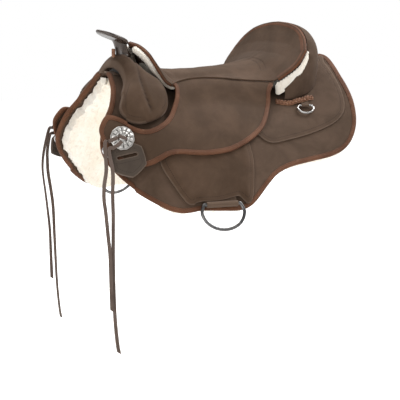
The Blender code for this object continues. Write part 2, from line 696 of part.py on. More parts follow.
def hung_ring(name, x, s, n, side, sizes, wire_radius, material):
    """A ring that hangs in the flank's plane from its bar; its origin is on the bar."""
    axes = level_axes(x, s, n, side)
    place = in_axes(axes)
    points = [place(a, b, 0) for a, b in dee_path(*sizes)]
    return wire(name, points, wire_radius, material, axes[0])


def lie_up(x, s, n, side, a, rises, depth):
    """Points up a strap that lies on the flank, a to the back of its middle line."""
    axes = level_axes(x, s, n, side)
    _, back, down, _ = axes_at(x, s, n, side)
    found = []
    for up in rises:
        run = axes[1] * a - axes[2] * up
        found.append(flank(x + run.dot(back), side * (s + run.dot(down)), n - depth))
    return found


def folded_strap(name, x, s, n, side, bar_radius, thick, half, run, material):
    """A strap on the flank whose lower end is folded round a level bar at (x, s, n)."""
    bar = (x, s, n, side)
    place = in_axes(level_axes(*bar))
    inner = bar_radius + CLEAR
    outer = inner + thick
    turns = [math.radians(a) for a in np.linspace(-90, 195, 11)]
    rises = [run * k / STRAP_STEPS for k in range(STRAP_STEPS, 0, -1)]
    sides = []
    for depth in (outer, inner):
        rows = [lie_up(*bar, a, rises, depth) for a in (-half, 0.0, half)]
        columns = [[row[k] for row in rows] for k in range(STRAP_STEPS)]
        columns += [[place(a, depth * math.cos(turn), depth * math.sin(turn))
                     for a in (-half, 0.0, half)] for turn in turns]
        sides.append(columns)
    return slab(name, *sides, material)


def cut(target, cutter):
    """Cuts one object out of another, and keeps the cutter as a hidden guide."""
    cutter.hide_render = True
    cutter.display_type = "WIRE"
    change = target.modifiers.new("cut_" + cutter.name, "BOOLEAN")
    change.operation = "DIFFERENCE"
    change.solver = "EXACT"
    change.object = cutter


def prism(name, outline, low, high, place, material, pivot=None):
    """A flat plate from a closed outline in a local plane, between two heights."""
    rings = [[place(a, b, c) for a, b in outline] for c in (low, high)]
    return sweep(name, rings, material, pivot=pivot, crease=30)


def stadium(centre, direction, length, width, count=5):
    """The outline of a slot with round ends."""
    along = Vector(direction).normalized()
    across = Vector((-along.y, along.x))
    half = (length - width) / 2
    found = []
    for end in (1, -1):
        for k in range(count):
            turn = math.pi * (k / (count - 1) - 0.5)
            offset = along * (half + width / 2 * math.cos(turn)) + across * (
                width / 2 * math.sin(turn))
            found.append(tuple(Vector(centre) + end * offset))
    return found


def jockey_top(x, s):
    """Height of the jockey's outer face: level with the seat at their seam."""
    rearward = float(smooth((x + JOCKEY_EASE / 2) / JOCKEY_EASE))
    stand = JOCKEY_STAND + (JOCKEY_STAND_REAR - JOCKEY_STAND) * rearward
    low = ON_SKIRT + stand + JOCKEY_LEATHER
    start = float(np.interp(x, SEAM_LINE[:, 0], SEAM_LINE[:, 1]))
    high = float(np.interp(x, SEAM_LINE[:, 0], SEAM_LINE[:, 2]))
    return low + (high - low) * float(1 - smooth((s - start) / SEAM_FALL))


def along_table(rows, share):
    """The smooth curve through a table's rows, at a share of its rows."""
    given = rows
    at = min(max(share, 0.0), 1.0) * (len(given) - 1)
    k = min(int(at), len(given) - 2)
    t = at - k
    b, c = given[k], given[k + 1]
    a = given[k - 1] if k else 2 * b - c
    d = given[k + 2] if k + 2 < len(given) else 2 * c - b
    return 0.5 * (2 * b + (c - a) * t + (2 * a - 5 * b + 4 * c - d) * t ** 2
                  + (3 * b - a - 3 * c + d) * t ** 3)


def mirrored(row, side):
    return np.array([row[0], side * row[1], row[2]])


def shares(count, low=0.0, high=1.0):
    return [low + (high - low) * k / (count - 1) for k in range(count)]


SEAT_FRAME = np.array((HALF_LENGTH, SEAT_HALF_WIDTH, CANTLE_HEIGHT))
SEAT_FRONT = np.array(SEAT_FRONT_SHARES) * SEAT_FRAME
SEAT_SEAM = np.array(SEAT_SEAM_SHARES) * SEAT_FRAME
CANTLE_RIM = np.array(CANTLE_RIM_SHARES) * SEAT_FRAME
SEAT_SIDE = np.vstack([SEAT_SEAM, CANTLE_RIM[-2:RIM_CORNER_COUNT - 1:-1]])
SEAT_REAR = CANTLE_RIM[:RIM_CORNER_COUNT + 1]
CENTRE_LINE = np.array(CENTRE_LINE_SHARES) * SEAT_FRAME[[0, 2]]
CANTLE_FOOT = np.array(CANTLE_FOOT_SHARES) * np.array((HALF_LENGTH, SKIRT_DROP))
SEAM_LINE = np.array([off_flank(along_table(SEAT_SIDE, v)) for v in SEAT_ROW_SHARES
                      if v <= SEAM_END_SHARE])


def seat_surface(u, v):
    """The seat's outer face: u from -1 (near) to 1 (far), v from the front to the rim.

    The four edges are blended, and the middle is sunk to the centre line.
    """
    side = -1 if u < 0 else 1
    front, rim, edge = SEAT_FRONT, SEAT_REAR, SEAT_SIDE
    c0 = mirrored(along_table(front, abs(u)), side)
    c1 = mirrored(along_table(rim, abs(u)), side)
    chord = (1 - v) * edge[0] + v * edge[-1]
    over_edge = along_table(edge, v) - chord
    blend = (1 - v) * c0 + v * c1 + over_edge * np.array((1, u, 1))
    middle = (1 - v) * front[0] + v * rim[0] + over_edge
    target = float(np.interp(middle[0], CENTRE_LINE[:, 0], CENTRE_LINE[:, 1]))
    blend[2] += (target - middle[2]) * max(0.0, 1 - u * u) ** SEAT_CROWN_POWER
    return Vector(blend)


def seat_point(u, v, depth):
    """A point under the seat's outer face by a depth, measured square to it."""
    d = SEAT_STEP_SHARE
    here = seat_surface(u, v)
    across = seat_surface(min(u + d, 1), v) - seat_surface(max(u - d, -1), v)
    along = seat_surface(u, min(v + d, 1)) - seat_surface(u, max(v - d, 0))
    normal = along.cross(across).normalized()
    return here - normal * depth, normal


def build_side(side, word, kit):
    """Everything that the saddle has once on each side."""
    leather, binding, steel = kit["leather"], kit["binding"], kit["steel"]
    skirt_edge = outline_of(SKIRT_SHARES, 38)
    spine = np.linspace(skirt_edge[-1][0], skirt_edge[0][0], 12)
    spine_side = [(x, SPINE_GAP / 2) for x in spine]
    skirt_edge[0][1] = skirt_edge[-1][1] = SPINE_GAP / 2
    skirt_edge = settle(skirt_edge)
    skirt = np.vstack([skirt_edge, spine_side[1:-1]])
    fleece = inset(skirt, FLEECE_INSET)
    fleece = fleece[distance_to(skirt, fleece) > 0.9 * FLEECE_INSET]
    fleece[:, 1] = np.maximum(fleece[:, 1], SPINE_GAP / 2)
    felt = inset(skirt, FELT_INSET)
    felt = felt[distance_to(skirt, felt) > 0.9 * FELT_INSET]
    felt[:, 1] = np.maximum(felt[:, 1], FELT_INSET)
    drape(word + "_fleece_lining", fleece, level(0.0), level(FLEECE_PILE), 0, side, kit["fleece"])
    drape(word + "_panel_felt", felt, level(FELT_UNDER), level(FELT_UNDER + PANEL_FELT), 0,
          side, kit["felt"])
    drape(word + "_skirt", skirt, level(SKIRT_UNDER), level(SKIRT_TOP), 0, side, leather,
          EDGE_SKIVE)
    bind_flank(word + "_skirt_binding", skirt_edge, SKIRT_LEATHER,
               level((SKIRT_UNDER + SKIRT_TOP) / 2), side, binding)
    drape(word + "_rear_pad", outline_of(REAR_PAD_SHARES, 34, True), level(ON_SKIRT),
          level(REAR_PAD_TOP), 0, side, leather)
    build_rigging(side, word, kit)
    build_jockey(side, word, kit)
    build_cantle_trim(side, word, kit)
    build_hanger(side, word, kit)
    build_stirrup_plate(side, word, steel)


def build_rigging(side, word, kit):
    """The ring, the strap folded round its bar, and the padded cover over the strap."""
    outer = RING_WIRE + CLEAR + RIGGING_STRAP_THICK
    height = ON_SKIRT + RIGGING_STANDOFF + outer
    hung_ring(word + "_rigging_ring", RIGGING_X, RIGGING_S, height, side,
              (RING_BAR_HALF, RING_HALF_WIDTH, RING_DROP), RING_WIRE, kit["dark_steel"])
    folded_strap(word + "_rigging_strap", RIGGING_X, RIGGING_S, height, side, RING_WIRE,
                 RIGGING_STRAP_THICK, RIGGING_STRAP_HALF, RIGGING_STRAP_RUN, kit["leather"])
    bar = (RIGGING_X, RIGGING_S, height, side)
    build_rigging_cover(word + "_rigging_cover", bar, kit["leather"])


def build_rigging_cover(name, bar, material):
    """A cover that lies on the skirt, and arches over the strap inside it."""
    x0, s0, height, side = bar
    _, level_back, level_down, _ = level_axes(*bar)
    _, back, down, _ = axes_at(*bar)
    turn = np.array([[level_back.dot(back), level_down.dot(back)],
                     [level_back.dot(down), level_down.dot(down)]])
    wide, tall = RIGGING_STRAP_HALF + 2 * CLEAR, RIGGING_STRAP_RUN + 2 * CLEAR
    lift = RIGGING_STANDOFF + RIGGING_STRAP_THICK + COVER_GAP

    def strap_lift(x, s):
        a, b = np.linalg.solve(turn, (x - x0, s - s0))
        beside = min(wide - abs(a), tall + b)
        return ON_SKIRT + lift * float(np.clip(1 + beside / COVER_RAMP, 0, 1))

    lines = []
    for more in (0.0, COVER_RAMP):
        a, b = wide + more, tall + more
        corners = [(-a, COVER_RAMP), (-a, -b), (a, -b), (a, COVER_RAMP)]
        lines.append([np.array((x0, s0)) + turn @ np.array(c) for c in corners])
    drape(name, outline_of(RIGGING_COVER_SHARES, 40, True), strap_lift,
          level(ON_SKIRT + RIGGING_COVER_RISE), 0, side, material, lines=lines)


def build_jockey(side, word, kit):
    """The flap below the seat, with the ear that runs forward under the fork."""
    edge = outline_of(JOCKEY_SHARES, 46)
    seam = [(x, s + SEAM_GAP) for x, s, _ in SEAM_LINE[::-1]]
    edge[0] = (seam[-1][0] - CLEAR, seam[-1][1])
    edge[-1] = (seam[0][0], seam[0][1] + CLEAR)
    edge = settle(edge)
    outline = np.vstack([edge, seam[1:-1]])
    lip = inset(edge, 1.4 * BINDING_LIP, False)
    drape(word + "_jockey", outline, lambda x, s: jockey_top(x, s) - JOCKEY_LEATHER,
          jockey_top, MEDIUM, side, kit["leather"], JOCKEY_SKIVE, (lip[1:9], lip[-10:-1]))
    path = edge[2:-3]
    bind_flank(word + "_jockey_binding", path, JOCKEY_LEATHER,
               lambda x, s: jockey_top(x, s) - JOCKEY_LEATHER / 2, side, kit["binding"])


def build_cantle_trim(side, word, kit):
    """The plaited strap across the cantle's foot, and the dee that hangs below it."""
    path = outline_of(PLAITED_STRAP_SHARES, 9)
    half = PLAITED_STRAP_WIDTH / 2
    low, high = inset(path, half, False), inset(path, -half, False)
    lift = DEE_STANDOFF + KEEPER_LEATHER + 2 * CLEAR

    def under(x, s):
        away = abs(x - REAR_DEE_X) - 2 * KEEPER_HALF_WIDTH
        return REAR_PAD_TOP + CLEAR + lift * float(np.clip(1 - away / KEEPER_HALF_WIDTH, 0, 1))

    drape(word + "_plaited_strap", np.vstack([low, high[::-1]]), under,
          lambda x, s: under(x, s) + PLAITED_STRAP_THICK, 0, side, kit["binding"])
    outer = DEE_WIRE + CLEAR + KEEPER_LEATHER
    for place, x, s, base in (("rear", REAR_DEE_X, REAR_DEE_S, REAR_PAD_TOP),
                              ("front", FRONT_DEE_X, FRONT_DEE_S, SKIRT_TOP)):
        height = base + CLEAR + DEE_STANDOFF + outer
        hung_ring(f"{word}_{place}_dee", x, s, height, side,
                  (DEE_BAR_HALF, DEE_HALF_WIDTH, DEE_DROP), DEE_WIRE, kit["steel"])
        folded_strap(f"{word}_{place}_keeper", x, s, height, side, DEE_WIRE, KEEPER_LEATHER,
                     KEEPER_HALF_WIDTH, KEEPER_RUN, kit["leather"])


def tab_axes(side, centre):
    """Axes of the hanger tab at the concho's post, just clear of the jockey under it."""
    _, back, down, out = axes_at(CONCHO_X + centre.x / 2, CONCHO_S + centre.y / 2, 0.0, side)
    here = flank(CONCHO_X, side * CONCHO_S, jockey_top(CONCHO_X, CONCHO_S))
    edge = outline_of(JOCKEY_SHARES, 46)
    rise = 0.0
    for reach in shares(4, 0.0, TAB_RADIUS):
        for turn in shares(17, 0.0, math.tau):
            for middle in (centre, 0.5 * centre):
                x = CONCHO_X + middle.x + reach * math.cos(turn)
                s = CONCHO_S + middle.y + reach * math.sin(turn)
                if distance_to(edge, np.array([[x, s]]))[0] > -BINDING_LEATHER:
                    height = jockey_top(x, s) + BINDING_LEATHER + CLEAR
                    rise = max(rise, (flank(x, side * s, height) - here).dot(out))
    return here + out * (rise + 2 * CLEAR), back, down, out


def build_hanger(side, word, kit):
    """The concho, the scalloped tab that swings on it, and the two strings."""
    toward = Vector((math.cos(TAB_CORNER_TURN), math.sin(TAB_CORNER_TURN)))
    centre = -TAB_PIVOT_RUN * toward
    axes = tab_axes(side, centre)
    place = in_axes(axes)
    outline = []
    for k in range(48):
        turn = math.tau * k / 48
        radius = TAB_RADIUS - TAB_SCALLOP * abs(math.sin(3 * turn)) ** 0.8
        near_neck = 1 - abs(math.remainder(turn, math.tau)) / TAB_NECK_TURN
        radius += TAB_NECK * float(smooth(near_neck))
        outline.append((centre.x + radius * math.cos(turn + TAB_CORNER_TURN),
                        centre.y + radius * math.sin(turn + TAB_CORNER_TURN)))
    tab = prism(word + "_hanger_tab", outline, 0.0, TAB_LEATHER, place, kit["leather"], axes[0])
    overrun = TAB_LEATHER
    hole_radius = CONCHO_POST_RADIUS + CLEAR
    turns = [math.tau * k / 12 for k in range(12)]
    hole = [(hole_radius * math.cos(a), hole_radius * math.sin(a)) for a in turns]
    cut(tab, prism(word + "_tab_hole", hole, -overrun, TAB_LEATHER + overrun, place,
                   kit["leather"]))
    along = (math.cos(TAB_CORNER_TURN + math.pi / 2), math.sin(TAB_CORNER_TURN + math.pi / 2))
    slot_centre = centre + TAB_SLOT_RISE * toward
    slot = stadium(slot_centre, along, TAB_SLOT_LENGTH, TAB_SLOT_WIDTH)
    cut(tab, prism(word + "_tab_slot", slot, -overrun, TAB_LEATHER + overrun, place,
                   kit["leather"]))
    post = (axes[0] - flank(CONCHO_X, side * CONCHO_S, jockey_top(CONCHO_X, CONCHO_S))).dot(axes[3])
    build_concho(axes, post - 2 * CLEAR, word, kit)
    build_strings(axes, side, word, kit)


def concho_face(radius):
    """Height of the concho's domed face above the tab's back, at a radius."""
    share = min(1.0, radius / CONCHO_RADIUS)
    return TAB_LEATHER + CLEAR + CONCHO_RIM + (CONCHO_DOME - CONCHO_RIM) * (1 - share ** 2)


def build_concho(axes, post, word, kit):
    """A domed disc with a scalloped rim and two slots, on a post through the tab.

    The post reaches down to the jockey, by a length below the tab's back.
    """
    place = in_axes(axes)
    base = TAB_LEATHER + CLEAR
    around = 2 * CONCHO_SCALLOPS
    rings = []
    profile = [(CONCHO_POST_RADIUS, -post), (CONCHO_POST_RADIUS, base),
               (CONCHO_RADIUS, base)]
    for share in (1.0, 0.78, 0.48):
        profile.append((CONCHO_RADIUS * share, concho_face(CONCHO_RADIUS * share)))
    for radius, height in profile:
        ring = []
        for k in range(around):
            turn = math.tau * k / around
            edge = CONCHO_SCALLOP * (k % 2) if radius == CONCHO_RADIUS else 0.0
            reach = radius - edge
            ring.append(place(reach * math.cos(turn), reach * math.sin(turn), height))
        rings.append(ring)
    concho = sweep(word + "_concho", rings, kit["silver"], crease=30)
    for offset in (-CONCHO_SLOT_OFFSET, CONCHO_SLOT_OFFSET):
        slot = stadium((offset, 0), (0, 1), CONCHO_SLOT_LENGTH, CONCHO_SLOT_WIDTH, 3)
        tag = "front" if offset < 0 else "rear"
        cut(concho, prism(f"{word}_concho_{tag}_slot", slot, base - CLEAR,
                          base + 2 * CONCHO_DOME, place, kit["silver"]))


def build_strings(axes, side, word, kit):
    """Two laces that leave the concho's face and hang free in front of the saddle."""
    place = in_axes(axes)
    for tag, start in LACE_START_SHARES.items():
        knots = []
        for a, b in start:
            a, b = a * CONCHO_RADIUS, b * CONCHO_RADIUS
            rise = concho_face(math.hypot(a, b)) + LACE_RADIUS + 2 * CLEAR
            knots.append(place(a, b, rise))
        for x, y, z in LACE_FALL_SHARES[tag]:
            knots.append(Vector((x * HALF_LENGTH, side * y * SEAT_HALF_WIDTH, z * LACE_DROP)))
        length = sum((b - a).length for a, b in zip(knots, knots[1:]))
        points = [Vector(p) for p in spline([tuple(k) for k in knots],
                                            round(length / LACE_STEP) + 1)]
        wire(f"{word}_{tag}_string", points, LACE_RADIUS, kit["lace"], points[0], closed=False)


def build_stirrup_plate(side, word, steel):
    """The slotted plate that the stirrup webbing folds round, under the jockey."""
    height = ON_WEB + WEBBING_THICK + PLATE_GAP
    axes = facet_axes(STIRRUP_X, STIRRUP_S, height, side)
    place = in_axes(axes)
    half = PLATE_BAR / 2
    outline = [(-PLATE_HALF_WIDTH, -half), (PLATE_HALF_WIDTH, -half),
               (PLATE_HALF_WIDTH, PLATE_DROP), (-PLATE_HALF_WIDTH, PLATE_DROP)]
    plate = prism(word + "_stirrup_plate", outline, 0.0, PLATE_THICK, place, steel)
    inner = PLATE_HALF_WIDTH - PLATE_BAR / 2
    window = [(-inner, half), (inner, half), (inner, PLATE_DROP - PLATE_BAR),
              (-inner, PLATE_DROP - PLATE_BAR)]
    cut(plate, prism(word + "_plate_window", window, -PLATE_THICK, 2 * PLATE_THICK, place, steel))


def build_stirrup_webbing(material):
    """Webbing over the back, folded round the bar of each stirrup plate."""
    half_bar = PLATE_BAR / 2
    low, lower_top = ON_WEB, ON_WEB + WEBBING_THICK
    upper = lower_top + PLATE_GAP + PLATE_THICK + PLATE_GAP
    top = upper + WEBBING_THICK
    end = STIRRUP_S - half_bar - PLATE_BAR
    turn = STIRRUP_S + half_bar + 2 * CLEAR
    sides = [[], []]
    for a in (-WEBBING_HALF, WEBBING_HALF):
        x = STIRRUP_X + a
        run = [share * turn for share in fold_lines((x, 0.0), (x, turn)) if share > 0]
        run = [-s for s in run[::-1]] + [0.0] + run
        out = turn + WEBBING_THICK
        outer = [(-end, top), (-out, top), (-out, low)] + [(s, low) for s in run]
        outer += [(out, low), (out, top), (end, top)]
        inner = [(-end, upper), (-turn, upper), (-turn, lower_top)]
        inner += [(s, lower_top) for s in run] + [(turn, lower_top), (turn, upper), (end, upper)]
        for side, profile in zip(sides, (outer, inner)):
            side.append([flank(x, s, n) for s, n in profile])
    slab("stirrup_webbing", *sides, material)


def build_spine_web(material):
    """The leather web over the back line that joins the two skirts."""
    right = outline_of(WEB_SHARES, 9)
    outline = np.vstack([right, [(x, -s) for x, s in right[::-1]]])
    drape("spine_web", outline, level(ON_SKIRT), level(ON_SKIRT + SPINE_WEB), 0, FAR, material)


def build_fork(kit):
    """The inner arch, the padded swell over it, the horn and its bolt."""
    half = outline_of(FORK_SHARES, 25)
    half[0][1] = half[-1][1] = 0.0
    outline = np.vstack([half, [(x, -s) for x, s in half[-2:0:-1]]])
    plate_under = ON_WEB
    plate_top = plate_under + ARCH_PLATE
    drape("pommel_arch", inset(outline, ARCH_INSET), level(plate_under), level(plate_top), 0,
          FAR, kit["stiffener"])
    fork_under = plate_top + CLEAR

    def crown(x, s):
        inside = max(0.0, float(distance_to(outline, np.array([[x, s]]))[0]))
        rise = math.sqrt(max(0.0, 1 - (1 - min(1.0, inside / FORK_SHOULDER)) ** 2))
        side = float(smooth(abs(s) / FORK_SIDE_RUN))
        foot = float(smooth((abs(s) - FORK_FOOT_START) / FORK_FOOT_RUN))
        most = FORK_CROWN_TOP + (FORK_CROWN_SIDE - FORK_CROWN_TOP) * side
        most += (FORK_CROWN_FOOT - FORK_CROWN_SIDE) * foot
        return fork_under + FORK_EDGE + most * rise

    fork = drape("fork_swell", outline, level(fork_under), crown, FINE, FAR, kit["leather"])
    build_horn(fork, level(plate_top), crown, kit)


def disc(centre, radii, height, tilt, count):
    """One level ring of the horn, which may be oval and tilted about Y."""
    ring = []
    for k in range(count):
        turn = math.tau * k / count
        a, b = radii[0] * math.cos(turn), radii[1] * math.sin(turn)
        ring.append(Vector((centre + a * math.cos(tilt), b, height - a * math.sin(tilt))))
    return ring


def build_horn(fork, plate_top, fork_top, kit):
    """The cast horn, and the bolt that holds it through the fork to the arch."""
    base = highest(HORN_X, HORN_FLARE_RADIUS, fork_top) + CLEAR
    neck = HORN_NECK_RADIUS
    top = base + HORN_HEIGHT
    drift = HORN_X - HORN_LEAN
    half_cap = HORN_CAP_THICK / 2
    cap = (HORN_CAP_HALF_LENGTH, HORN_CAP_HALF_WIDTH)
    lip = tuple(c - half_cap for c in cap)
    cap_x = drift - HORN_LEAN
    tilt = HORN_CAP_TILT
    levels = [(HORN_X, (HORN_FLARE_RADIUS,) * 2, base, 0.0),
              (HORN_X, (HORN_FLARE_RADIUS - CLEAR,) * 2, base + half_cap / 2, 0.0),
              (HORN_X, (neck + CLEAR,) * 2, base + HORN_HEIGHT * 0.28, 0.0),
              (drift, (neck,) * 2, base + HORN_HEIGHT * 0.55, tilt / 2),
              (cap_x, (neck * 1.5,) * 2, top - half_cap * 1.8, tilt),
              (cap_x, lip, top - half_cap, tilt),
              (cap_x, cap, top, tilt),
              (cap_x, cap, top + half_cap / 2, tilt),
              (cap_x, lip, top + half_cap * 1.2, tilt),
              (cap_x, tuple(c * 0.5 for c in cap), top + half_cap * 1.4, tilt)]
    rings = [disc(x, radii, height, lean, 20) for x, radii, height, lean in levels]
    sweep("horn", rings, kit["lacquer"], crease=35)
    shaft = HORN_BOLT_RADIUS
    head = HORN_BOLT_HEAD_RADIUS
    foot = highest(HORN_X, head, plate_top) + CLEAR
    levels = [(head, foot), (head, foot + HORN_BOLT_HEAD), (shaft, foot + HORN_BOLT_HEAD),
              (shaft, base - 2 * CLEAR)]
    sweep("horn_bolt", [disc(HORN_X, (r, r), z, 0.0, 12) for r, z in levels], kit["steel"])
    roof = foot + HORN_BOLT_HEAD + CLEAR
    well = [(head + CLEAR, foot - HORN_BOLT_HEAD), (head + CLEAR, roof), (shaft + CLEAR, roof),
            (shaft + CLEAR, base + HORN_BOLT_HEAD)]
    cutter = sweep("horn_bolt_bore", [disc(HORN_X, (r, r), z, 0.0, 12) for r, z in well],
                   kit["steel"])
    cut(fork, cutter)
    front = HORN_X - HORN_FLARE_RADIUS - LACE_TAB_THICK - CLEAR
    half = LACE_TAB_WIDTH / 2
    low = highest(front, half, fork_top) + CLEAR
    corners = [(front, -half), (front + LACE_TAB_THICK, -half), (front + LACE_TAB_THICK, half),
               (front, half)]
    sweep("horn_lace_tab", [[Vector((x, y, z)) for x, y in corners]
                            for z in (low, low + LACE_TAB_HEIGHT)], kit["binding"])


def edge_ring(point, out, up, thick):
    """One station of the binding on an edge in space."""
    return [point + out * d + up * h for d, h in binding_section(thick)]


def build_seat(kit):
    """The seat's leather, the foam under it, and the binding on its free edges."""
    across, along = shares(21, -1.0, 1.0), SEAT_ROW_SHARES
    top = [[seat_point(u, v, seat_skive(u, v))[0] for u in across] for v in along]
    under = [[seat_point(u, v, SEAT_LEATHER - seat_skive(u, v))[0] for u in across]
             for v in along]
    slab("seat_cover", top, under, kit["leather"])
    depth = SEAT_LEATHER + CLEAR * 2
    for name, rows, reach in (("ground_seat", along[1:9], 0.8),
                              ("dish_pad", [along[8] + NEARBY_SHARE] + along[9:13], 0.7)):
        foam_across = [u for u in across if abs(u) < reach + NEARBY_SHARE]
        upper = [[seat_point(u, v, depth)[0] for u in foam_across] for v in rows]
        lower = [[seat_floor(u, v, reach) for u in foam_across] for v in rows]
        slab(name, upper, lower, kit["foam"])
    build_seat_trim(kit)


def seat_skive(u, v):
    """How much each face of the seat's leather is thinned under its bindings."""
    bound = v in (0.0, 1.0) or (abs(u) == 1.0 and v > SEAM_END_SHARE)
    return SEAT_SKIVE if bound else 0.0


def seat_floor(u, v, reach):
    """Where the seat's foam meets the skirts, inside the seams above it."""
    seam_y = along_table(SEAT_SIDE, v)[1]
    here = seat_surface(u, v)
    y = u / reach * min(abs(seat_surface(reach, v).y), seam_y - SEAT_FLOOR_INSET)
    return flank(here.x, reach_of(here.x, y, SEAT_UNDER), SEAT_UNDER)


def seat_edge_ring(place, inner, ahead, behind):
    """The binding's section at a node of the seat, square to the leather beside it."""
    here, up = seat_point(*place, SEAT_LEATHER / 2)
    out = (here - seat_point(*inner, SEAT_LEATHER / 2)[0]).normalized()
    along = (seat_point(*ahead, SEAT_LEATHER / 2)[0]
             - seat_point(*behind, SEAT_LEATHER / 2)[0]).normalized()
    out = (out - along * out.dot(along)).normalized()
    square = out.cross(along)
    square = -square if square.dot(up) < 0 else square
    return edge_ring(here, out, square, SEAT_LEATHER + CLEAR), here, out, square


def seat_binding(name, places, inners, material):
    """Binding through nodes of the seat's edge; the stations it was made from."""
    stations = []
    for k, (place, inner) in enumerate(zip(places, inners)):
        ahead, behind = places[min(k + 1, len(places) - 1)], places[max(k - 1, 0)]
        stations.append(seat_edge_ring(place, inner, ahead, behind))
    sweep(name, [ring for ring, _, _, _ in stations], material, caps=BINDING_CAPS)
    return stations


def build_seat_trim(kit):
    """Binding on the seat's front edge and on the rim, with fleece under the front."""
    across, along = shares(21, -1.0, 1.0), SEAT_ROW_SHARES
    near_end = 1 - NEARBY_SHARE
    front = [(-near_end, 0.0)] + [(u, 0.0) for u in across[1:-1]] + [(near_end, 0.0)]
    stations = seat_binding("seat_binding", front, [(u, along[1]) for u, _ in front],
                            kit["binding"])
    below = SEAT_LEATHER / 2 + SEAT_FLEECE_RADIUS + 3 * CLEAR
    for side, word in ((NEAR, "near"), (FAR, "far")):
        roll = []
        for (u, _), (_, here, out, up) in zip(front, stations):
            if u * side > SEAT_FLEECE_START_SHARE:
                middle = here - up * below - out * SEAT_FLEECE_BACK
                roll.append([middle + (out * math.cos(a) + up * math.sin(a)) * SEAT_FLEECE_RADIUS
                             for a in (math.tau * k / 8 for k in range(8))])
        sweep(word + "_seat_fleece", roll, kit["fleece"])
    lower = [v for v in along if SEAM_END_SHARE < v < 1]
    rim = [(-1.0, v) for v in lower] + [(u, 1.0) for u in across]
    rim += [(1.0, v) for v in lower[::-1]]
    inners = []
    for u, v in rim:
        inners.append((math.copysign(min(abs(u), across[-2]), u) if abs(u) == 1 else u,
                       min(v, along[-2])))
    seat_binding("rim_binding", rim, inners, kit["binding"])


def rim_at(t):
    """The seat's (u, v) at the rim's point t, from -1 at its near end to 1 at its far end."""
    at = abs(t) * (len(CANTLE_RIM) - 1)
    if at <= RIM_CORNER_COUNT:
        return math.copysign(at / RIM_CORNER_COUNT, t), 1.0
    return math.copysign(1.0, t), 1 - (at - RIM_CORNER_COUNT) / (len(SEAT_SIDE) - 1)


def cantle_fleece_share(t):
    """How much of its full height the fleece below the rim has at t."""
    return float(smooth((abs(t) - 0.50) / 0.42))


def rim_out(t):
    """The level direction that points out of the cantle at t."""
    return Vector((math.cos(t * RIM_TURN), math.sin(t * RIM_TURN), 0))


def cantle_line(t, k):
    """A point of the cantle's outer face: t across it, k from under the rim to its foot."""
    side = -1 if t < 0 else 1
    rim, _ = seat_point(*rim_at(t), SEAT_LEATHER + BINDING_LEATHER + 3 * CLEAR)
    rim.z -= (2 * CANTLE_FLEECE_HALF_HEIGHT + CANTLE_FLEECE_GAP) * cantle_fleece_share(t)
    x, s = along_table(CANTLE_FOOT, abs(t))
    foot = flank(x, side * s, REAR_PAD_TOP + CANTLE_FOOT_LIFT)
    out = rim_out(t)
    tall = max(0.15, min(1.0, (rim.z - foot.z) / CANTLE_FULL_HEIGHT))
    rim = rim + out * BINDING_LIP / 5
    first = rim + out * CANTLE_BULGE * tall ** 2
    second = foot + (Vector((0, 0, CANTLE_BULGE)) + out * CANTLE_FOOT_BULGE) * tall
    return (rim * (1 - k) ** 3 + first * 3 * k * (1 - k) ** 2
            + second * 3 * k * k * (1 - k) + foot * k ** 3)


def cantle_wall(t, depth, low=0.0, high=1.0, count=6):
    """The cantle's side profile at t, a depth inside its outer face."""
    found = []
    for k in shares(count, low, high):
        across = cantle_line(t + NEARBY_SHARE, k) - cantle_line(t - NEARBY_SHARE, k)
        along = (cantle_line(t, min(k + NEARBY_SHARE, 1))
                 - cantle_line(t, max(k - NEARBY_SHARE, 0)))
        normal = across.cross(along).normalized()
        if normal.dot(rim_out(t) + Vector((0, 0, 1))) < 0:
            normal = -normal
        found.append(cantle_line(t, k) - normal * depth)
    return found


def build_cantle(kit):
    """The leather shell behind the rim, its stiff core, and the fleece below the rim."""
    ts = shares(19, -0.9, 0.9)
    outer = [cantle_wall(t, 0.0) for t in ts]
    inner = [cantle_wall(t, CANTLE_LEATHER) for t in ts]
    slab("cantle_shell", outer, inner, kit["leather"])
    depth = CANTLE_LEATHER + 2 * CLEAR
    outer = [cantle_wall(t, depth, 0.2, 0.8, 4) for t in ts[2:-2]]
    inner = [cantle_wall(t, depth + CANTLE_CORE, 0.2, 0.8, 4) for t in ts[2:-2]]
    slab("cantle_core", outer, inner, kit["stiffener"])
    for side, word in ((NEAR, "near"), (FAR, "far")):
        rings = []
        for t in (0.6, 0.7, 0.8, 0.9, 0.95):
            here, _ = seat_point(*rim_at(side * t), SEAT_LEATHER + BINDING_LEATHER + 2 * CLEAR)
            tall = CANTLE_FLEECE_HALF_HEIGHT * cantle_fleece_share(t)
            wide = min(tall, CANTLE_FLEECE_HALF_THICK)
            out = rim_out(side * t)
            middle = here + out * wide - Vector((0, 0, tall))
            rings.append([middle + out * (wide * math.cos(a)) + Vector((0, 0, tall * math.sin(a)))
                          for a in (math.tau * k / 8 for k in range(8))])
        sweep(word + "_cantle_fleece", rings, kit["fleece"])


